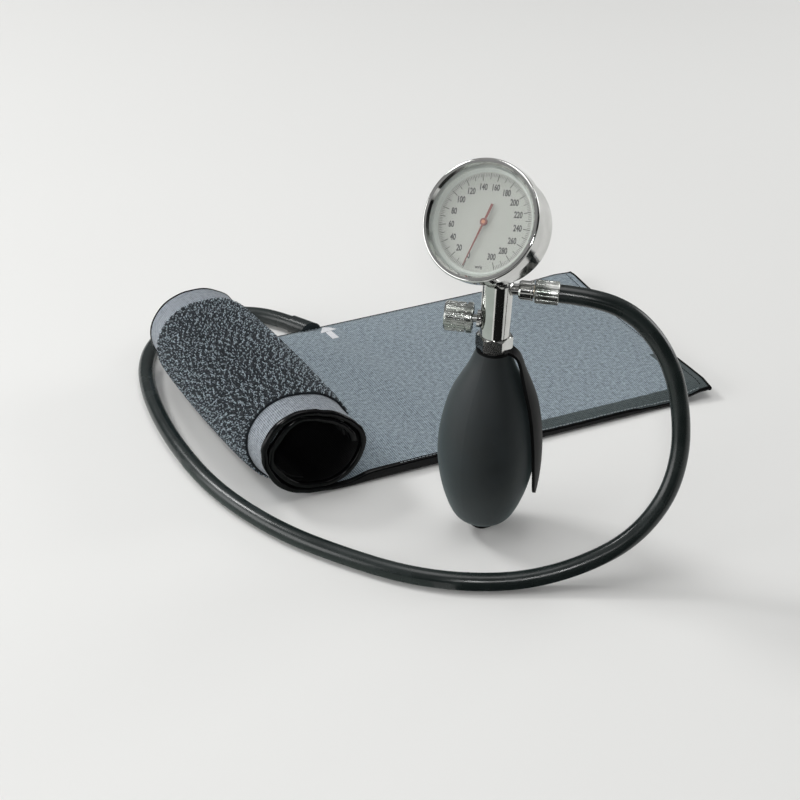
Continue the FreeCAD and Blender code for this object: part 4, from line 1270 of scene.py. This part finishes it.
    def slab(self, layer: Layer, finish: Finish) -> bpy.types.Object:
        """Makes a layer as a closed thin sheet.

        Args:
            layer: The layer.
            finish: Its finish.

        Returns:
            The piece.
        """
        share = (layer.far - layer.near) / self.width
        rows = self.stations(layer.near, layer.far, max(round(self.across_steps * share), 5))
        numbers = list(range(layer.first, layer.last))
        points, uv = [], []
        for face in (layer.outside, layer.inside):
            for y in rows:
                path, along = self.path(y), self.lengths(y)
                for k in numbers:
                    points.append(self.at(path[k], y, face(k, y)))
                    uv.append((along[k], y * MM))
        columns, one_side = len(numbers), len(rows) * len(numbers)
        faces = grid_faces(len(rows), columns, 0, True) + grid_faces(len(rows), columns, one_side)
        others = {}
        if layer.zone:
            cells = [(k, (y + rows[row + 1]) / 2) for row, y in enumerate(rows[:-1]) for k in numbers[:-1]]
            found = [layer.zone(k, y) for k, y in cells] * 2
            others = {number: finish for number, finish in enumerate(found) if finish}
        border = list(range(columns))
        border += [row * columns + columns - 1 for row in range(1, len(rows))]
        border += [(len(rows) - 1) * columns + k for k in range(columns - 2, -1, -1)]
        border += [row * columns for row in range(len(rows) - 2, 0, -1)]
        for a, b in zip(border, border[1:] + border[:1]):
            faces.append((a, b, b + one_side, a + one_side)[::-1])
        return mesh_piece(layer.name, points, faces, finish.material(), Body.INSTRUMENT, sharp=60.0, uv=uv,
                          others=others)

    def tape(self, near_edge: bool) -> tuple[list, list, list]:
        """The binding round one long edge: a folded strip with a rounded outer fold.

        Args:
            near_edge: Whether it is the near edge.

        Returns:
            The vertices, the faces and the places on the cloth.
        """
        edge = self.near if near_edge else self.near + self.width
        inward, wide = (1.0, 3.0) if near_edge else (-1.0, 1.6)
        points, uv = [], []
        along = self.lengths(edge)
        for number in range(self.path_count):
            thick = self.upper_offset(number, edge)
            ring = [(wide, -0.25), (0.4 * wide, -0.4), (0.35, -0.15), (0.0, 0.5), (0.0, thick - 0.5),
                    (0.35, thick + 0.15), (0.4 * wide, thick + 0.4), (wide, thick + 0.25),
                    (wide, thick - 0.2), (0.6 * wide, thick / 2), (wide, 0.2)]
            for across, offset in ring:
                y = edge + inward * across
                points.append(self.at(self.path(y)[number], y, offset))
                uv.append((along[number], (y + offset) * MM))
        faces = tube_faces(self.path_count, len(points) // self.path_count, capped=True)
        return points, faces if near_edge else [face[::-1] for face in faces], uv

    def end_tape(self) -> tuple[list, list, list]:
        """The binding round the flat end.

        Returns:
            The vertices, the faces and the places on the cloth.
        """
        points, uv = [], []
        rows = self.stations(self.near, self.near + self.width, self.across_steps)
        for y in rows:
            thick = self.upper_offset(0, y)
            x_end = self.across(self.near_end, self.far_end, y)
            ring = [(-0.6, -0.2), (0.3, -0.3), (0.9, -0.1), (1.1, 0.5), (1.1, thick - 0.5),
                    (0.9, thick + 0.1), (0.3, thick + 0.25), (-0.6, thick + 0.2), (-0.6, thick - 0.2),
                    (-0.2, thick / 2), (-0.6, 0.2)]
            for out, offset in ring:
                points.append(self.settle(x_end + out, y, self.pile + offset))
                uv.append((y * MM, (out + offset) * MM))
        faces = tube_faces(len(rows), len(points) // len(rows), turned=True)
        return points, [face[::-1] for face in faces], uv

    def binding(self) -> bpy.types.Object:
        """The binding tape round three edges.

        Returns:
            All of it as one piece.
        """
        points, faces, uv = [], [], []
        for strip in (self.tape(True), self.tape(False), self.end_tape()):
            faces += [tuple(k + len(points) for k in face) for face in strip[1]]
            points += strip[0]
            uv += strip[2]
        return mesh_piece("binding_tape", points, faces, TAPE.material(), Body.INSTRUMENT, sharp=50.0, uv=uv)

    def stitches(self, name: str, route: list[tuple[int, float, float]], finish: Finish,
                 thick: float) -> bpy.types.Object:
        """A row of stitches.

        Args:
            name: The row's name.
            route: The (path number, y, offset) places that it follows.
            finish: The thread's finish.
            thick: The thread's radius.

        Returns:
            The row as one piece.
        """
        line = [Vector(self.at(self.path(y)[number], y, offset)) for number, y, offset in route]
        points, faces, sides = [], [], 6
        position, nearest = 0.0, self.stitch_pitch / 2
        for a, b in zip(line, line[1:]):
            run = (b - a).length
            while run > 1e-6 and nearest <= position + run:
                middle = a.lerp(b, (nearest - position) / run)
                along = (b - a).normalized()
                up = UP if abs(along.z) < 0.9 else Vector((1.0, 0.0, 0.0))
                side = along.cross(up).normalized()
                top = side.cross(along).normalized()
                faces += tube_faces(len(self.stitch_profile), sides, len(points), capped=True)
                for share, size in self.stitch_profile:
                    for k in range(sides):
                        angle = math.tau * k / sides
                        points.append(tuple(middle + along * self.stitch_pitch * self.stitch_cover * share
                                            + side * thick * size * math.cos(angle)
                                            + top * thick * size * math.sin(angle)))
                nearest += self.stitch_pitch
            position += run
        return mesh_piece(name, points, faces, finish.material(), Body.INSTRUMENT, sharp=80.0)

    def loops(self, near: float, far: float, first: int, last: int) -> bpy.types.Object:
        """The panel's loops: small arches of yarn that stand on its outer face.

        Args:
            near: The panel's near edge.
            far: Its far edge.
            first: The number of the path's point where the loops start.
            last: The number of the path's point where they end.

        Returns:
            All the loops as one piece.
        """
        loop = Loops()
        chance = random.Random(loop.seed)
        dark, light = linear(YARN.dark), linear(YARN.light)
        points, faces, shades = [], [], []
        y, row_phase = near + 0.5, 0.0
        while y < far - 0.4:
            path, along = self.path(y), self.lengths(y)
            place, number = along[first], first
            row_phase += loop.row_step
            phase = row_phase
            while number < last - 1:
                place += loop.spacing * MM * chance.uniform(0.75, 1.25)
                phase += loop.loop_step
                while number < last - 1 and along[number + 1] < place:
                    number += 1
                if number >= last - 1:
                    break
                share = (place - along[number]) / max(along[number + 1] - along[number], 1e-6)
                a, b = path[number], path[number + 1]
                blend = tuple(between(a[k], b[k], share) for k in range(4)) + (a[4], a[5])
                own_y = y + chance.uniform(-loop.scatter, loop.scatter)
                own_y = min(max(own_y, near + loop.margin), far - loop.margin)
                root = Vector(self.at(blend, own_y, -self.pile + loop.sunk))
                if root.z < loop.table_gap:
                    continue
                out = (Vector(self.at(blend, own_y, -self.pile - 1.0)) - root).normalized()
                arch, shade = loop.arch(root, out, phase, chance)
                faces += tube_faces(loop.rings, loop.sides, len(points), turned=True)
                points += arch
                # Each loop's colour is kept at its vertices; the pale ones are painted glints.
                shades += [tuple(between(d, c, shade) for d, c in zip(dark, light))] * len(arch)
            y += loop.spacing * loop.row_gap
        piece = mesh_piece("pile_loops", points, faces, YARN.material(), Body.INSTRUMENT, sharp=180.0)
        layer = piece.data.color_attributes.new("Shade", "FLOAT_COLOR", "POINT")
        for item, colour in zip(layer.data, shades):
            item.color = colour
        return piece

    def arrow(self) -> bpy.types.Object:
        """The printed arrow by the far edge that shows where the hose leaves.

        Returns:
            The arrow.
        """
        cells, points, faces = 7, [], []
        shaft = ((-2.4, 200.9), (2.0, 201.4), (0.9, 211.6), (-3.0, 211.0))
        head = ((-6.2, 211.0), (4.8, 212.2), (-1.4, 219.2), (-1.8, 219.1))
        for corners in (shaft, head):
            first = len(points)
            for row in range(cells):
                v = row / (cells - 1)
                left = (between(corners[0][0], corners[3][0], v), between(corners[0][1], corners[3][1], v))
                right = (between(corners[1][0], corners[2][0], v), between(corners[1][1], corners[2][1], v))
                for column in range(cells):
                    u = column / (cells - 1)
                    x, y = between(left[0], right[0], u), between(left[1], right[1], u)
                    points.append(self.on_top(x, y, 0.12))
            faces += grid_faces(cells, cells, first)
        return mesh_piece("printed_arrow", points, faces, ARROW_PRINT.material(), Body.INSTRUMENT)

    def on_top(self, x: float, y: float, proud: float) -> Point:
        """The place on the flat part's upper face above (x, y).

        Args:
            x: The place along the cuff.
            y: The place across it.
            proud: How far the place stands off the face.

        Returns:
            The settled place.
        """
        x_end = self.across(self.near_end, self.far_end, y)
        x_roll = self.across(self.near_roll, self.far_roll, y) + self.flat
        number = (x_end - x) / (x_end - x_roll) * self.flat_steps
        low = self.top_offset(int(number), y)
        high = self.top_offset(int(number) + 1, y)
        offset = between(low, high, number - int(number)) + self.sheet + proud
        return self.settle(x, y, self.pile + offset)

    def zone(self, number: int, y: float) -> Finish | None:
        """The finish of the patient-side sheet where it isn't the plain nylon: darker cloth painting shade on
        the near edge and the hose's shadow in the end corner, and black cloth painting the roll's inner
        shade.

        Args:
            number: The number of a point of the path.
            y: Its place across the cuff.

        Returns:
            The finish, or None for the plain nylon.
        """
        # Inside the roll the sheet turns black: painted shade.
        if number >= self.flat_steps:
            return ROLL_INSIDE_PAINTED_SHADE
        # The near edge's band and the end's near corner take the darker hem cloth: painted shade there, and
        # the hose's painted shadow in the corner.
        clear_of_roll = number < self.flat_steps * self.hem_share
        hose_shadow_corner = number < self.hem_corner_points and y < self.near + self.hem_corner
        if hose_shadow_corner or y < self.near + self.hem and clear_of_roll:
            return HEM_NYLON_PAINTED_SHADE
        return None

    def build(self) -> None:
        far = self.near + self.width
        last = self.path_count
        panel_last = self.half_turn_start(1) + round(self.panel_end_degrees / self.arc_degrees)
        panel_near, panel_far = self.near + self.panel_margin, far - self.panel_margin

        def under(offset: float) -> Callable[[int, float], float]:
            """A face at one offset inside the outer face."""
            return lambda number, y: offset

        def top(extra: float) -> Callable[[int, float], float]:
            """A face that follows the patient-side sheet, further inside by extra."""
            return lambda number, y: self.top_offset(number, y) + extra

        outer = self.slab(Layer("cuff_outer_cloth", under(0.0), under(self.sheet), 0, last,
                                self.near + self.cloth_margin, far - self.cloth_margin), OUTER_NYLON)
        inner = self.slab(Layer("cuff_inner_cloth", top(0.0), top(self.sheet), 0, last,
                                self.near + self.cloth_margin, far - self.cloth_margin, self.zone), NYLON)
        lining = self.slab(Layer("flap_stiffener", under(self.sheet + 0.05),
                                 under(self.sheet + self.lining - 0.05), self.flat_steps - 8, last,
                                 self.near + self.lining_margin, far - self.lining_margin), LINING)
        bladder = self.slab(Layer("rubber_bladder", under(self.sheet + 0.1), top(-0.1), 8,
                                  self.flat_steps - 16, self.near + self.inner_margin,
                                  far - self.inner_margin), SEAL_RUBBER)
        panel = self.slab(Layer("loop_panel", under(-self.pile), under(-0.02), self.panel_first, panel_last,
                                panel_near, panel_far), PILE)
        hooks = self.slab(Layer("hook_panel_tape", top(self.sheet + 0.02), top(self.sheet + 0.9),
                                self.half_turn_start(2), last, self.near + self.inner_margin,
                                far - self.inner_margin), HOOK_TAPE)
        binding = self.binding()
        loops = self.loops(panel_near, panel_far, self.flat_steps, panel_last)
        arrow = self.arrow()
        seams = [self.stitches(name, [(k, y, self.upper_offset(k, y) + 0.35)
                                      for k in range(3, self.flat_steps - 20)], THREAD, 0.22)
                 for name, y in (("near_edge_stitches", self.near + 1.6), ("far_edge_stitches", far - 2.4))]
        seams.append(self.stitches("end_stitches", [(2, y, self.upper_offset(2, y) + 0.1)
                                                    for y in self.stations(self.near + 4.0, far - 4.0, 60)],
                                   TAPE, 0.25))
        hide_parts("cuff_outer_sheet")
        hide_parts("cuff_inner_sheet")
        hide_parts("cuff_interlining")
        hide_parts("bladder")
        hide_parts("pile_panel")
        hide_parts("hook_panel")
        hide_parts("edge_binding")


# ---------------------------------------------------------------- the nodes that keep their own shape


@dataclass(frozen=True)
class Hardware:
    """The hard pieces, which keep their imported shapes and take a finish."""

    def finishes(self) -> dict[str, Finish]:
        """Which finish each hard node takes.

        Returns:
            The finish by the node's name.
        """
        table = {
            CHROME: ("valve_body", "bulb_collar", "tube_connector", "gauge_stem", "gauge_case", "bezel_ring",
                     "release_bushing"),
            SATIN_CHROME: ("release_knob",),
            NICKEL_PAINTED_DARK: ("hose_nut",),
            STEEL: ("inlet_ball", "release_spindle", "movement_screws"),
            BRASS: ("inlet_cage", "outlet_seat", "hose_barb", "pinion_arbor", "sector_gear", "rocker_shaft",
                    "movement_back_plate", "movement_front_plate", "plate_pillars", "movement_posts",
                    "capsule_stud", "capsule_base"),
            BRONZE: ("capsule", "hairspring"),
            SEAL_RUBBER: ("outlet_disc",),
            SILICONE: ("crystal_gasket",),
            HOSE_RUBBER: ("bladder_neck",),
            PLUG_NYLON: ("release_plug",),
            SPOON_PLASTIC: ("palm_spoon", "inlet_valve_body"),
            DIAL_PAINT: ("dial_plate",),
            SPACER_PAINT: ("dial_spacer",),
            POINTER_PAINT: ("pointer",),
            CRYSTAL: ("crystal",),
        }
        return {node: finish for finish, nodes in table.items() for node in nodes}

    def build(self) -> None:
        """Gives each node its finish."""
        for node, finish in self.finishes().items():
            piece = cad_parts[node]
            piece.data.materials.clear()
            piece.data.materials.append(finish.material())
            log.info("%s: %s", node, finish.name)


# ---------------------------------------------------------------- studio


@dataclass(frozen=True)
class Studio:
    """The pale floor, the soft lamps and the camera."""

    camera_place: Point = (-391.7, -773.9, 619.0)
    camera_aim: Point = (0.3449, 0.7747, -0.5299)
    lens: float = 90.0
    background: str = "#e9e9e7"
    dome: tuple = ((0.0, "#5a5a5a"), (0.25, "#9a9a9a"), (0.6, "#d8d8d8"), (1.0, "#f0f0f0"))
    dome_strength: float = 0.45
    front: Point = (0.30, -0.95, 0.0)
    front_share: float = 0.1

    def camera(self) -> None:
        """Sets the camera at the height and angle from which the set is seen."""
        data = bpy.data.cameras.new("camera")
        data.lens = self.lens
        data.sensor_width = 36.0
        camera = bpy.data.objects.new("camera", data)
        camera.location = Vector(self.camera_place) * MM
        camera.rotation_euler = Vector(self.camera_aim).to_track_quat("-Z", "Y").to_euler()
        bpy.context.scene.collection.objects.link(camera)
        bpy.context.scene.camera = camera

    def lamp(self, name: str, place: Point, aim: Point, size: float, tall: float, power: float) -> None:
        """Adds a soft lamp.

        Args:
            name: Its name.
            place: Its place in metres.
            aim: What it points at, in metres.
            size: Its width in metres.
            tall: Its height in metres.
            power: Its power in watts.
        """
        data = bpy.data.lights.new(name, "AREA")
        data.shape = "RECTANGLE"
        data.size = size
        data.size_y = tall
        data.energy = power
        lamp = bpy.data.objects.new(name, data)
        lamp.location = place
        lamp.rotation_euler = (Vector(aim) - Vector(place)).to_track_quat("-Z", "Y").to_euler()
        bpy.context.scene.collection.objects.link(lamp)

    def flat(self, name: str, corners: list[Point], finish: Finish) -> bpy.types.Object:
        """A flat staged sheet.

        Args:
            name: Its name.
            corners: Its corners in metres.
            finish: Its finish.

        Returns:
            The sheet.
        """
        mesh = bpy.data.meshes.new(name)
        mesh.from_pydata(corners, [], [tuple(range(len(corners)))])
        mesh.materials.append(finish.material())
        sheet = bpy.data.objects.new(name, mesh)
        bpy.context.scene.collection.objects.link(sheet)
        return sheet

    def floor(self) -> None:
        """Lays the pale floor."""
        reach = 4.0
        corners = [(-reach, -reach, 0), (reach, -reach, 0), (reach, reach, 0), (-reach, reach, 0)]
        self.flat("floor", corners, FLOOR)

    def card(self, name: str, first: float, last: float, finish: Finish) -> None:
        """Lays a card beside the bulb unit that only reflections show.

        Args:
            name: Its name.
            first: The direction in degrees at which it starts.
            last: The direction at which it ends.
            finish: Its finish.
        """
        inner, outer, above, steps = 0.05, 0.6, 0.0005, 12
        turns = [math.radians(between(first, last, k / steps)) for k in range(steps + 1)]
        corners = [(inner * math.cos(a), inner * math.sin(a), above) for a in turns]
        corners += [(outer * math.cos(a), outer * math.sin(a), above) for a in reversed(turns)]
        card = self.flat(name, corners, finish)
        card.visible_camera = False
        card.visible_diffuse = False
        card.visible_shadow = False
        card.visible_transmission = False

    def world(self) -> None:
        """Lights the set softly from all round but the near side, and is pale behind the set."""
        world = bpy.data.worlds.new("studio")
        bpy.context.scene.world = world
        world.use_nodes = True
        tree = world.node_tree
        tree.nodes.clear()
        direction = add(tree, "ShaderNodeTexCoord").outputs["Generated"]
        height = add(tree, "ShaderNodeSeparateXYZ", {"Vector": direction}).outputs["Z"]
        dome = add(tree, "ShaderNodeValToRGB", {"Fac": height}, stops=self.dome)
        front = add(tree, "ShaderNodeVectorMath", {0: direction, 1: self.front}, operation="DOT_PRODUCT")
        dim = add(tree, "ShaderNodeMapRange", {"Value": front.outputs["Value"], 1: 0.0, 2: 0.7,
                                               3: self.dome_strength,
                                               4: self.dome_strength * self.front_share})
        soft = add(tree, "ShaderNodeBackground", {"Color": dome.outputs["Color"],
                                                  "Strength": dim.outputs["Result"]})
        pale = add(tree, "ShaderNodeBackground", {"Color": linear(self.background), "Strength": 1.0})
        seen = add(tree, "ShaderNodeLightPath").outputs["Is Camera Ray"]
        mixed = add(tree, "ShaderNodeMixShader", {0: seen, 1: soft.outputs[0], 2: pale.outputs[0]})
        add(tree, "ShaderNodeOutputWorld", {"Surface": mixed.outputs[0]})

    def build(self) -> None:
        """Sets up the whole studio."""
        self.camera()
        self.floor()
        self.world()
        self.card("black_card", 232.0, 298.0, BLACK_CARD)
        self.card("grey_card", 138.0, 222.0, GREY_CARD)
        self.lamp("key_lamp", (-0.95, 1.25, 1.45), (0.0, 0.1, 0.05), 0.5, 0.5, 15.0)
        self.lamp("top_lamp", (0.1, 0.25, 1.9), (0.0, 0.1, 0.0), 1.2, 1.2, 9.5)
        self.lamp("side_lamp", (1.5, 0.15, 0.5), (0.0, 0.0, 0.08), 0.7, 0.7, 6.0)
        self.lamp("left_panel", (-1.3, 0.3, 0.42), (0.0, 0.05, 0.1), 1.3, 0.7, 9.0)
        self.lamp("front_lamp", (-0.56, -1.13, 0.92), (0.08, 0.05, 0.05), 0.12, 0.12, 4.0)
        bpy.context.scene.view_settings.view_transform = "Standard"


def main() -> None:
    """Builds the set piece by piece."""
    Studio().build()
    Hose().build()
    Hardware().build()
    Bulb().build()
    Dial().build()
    Cuff().build()


if __name__ == "__main__":
    main()
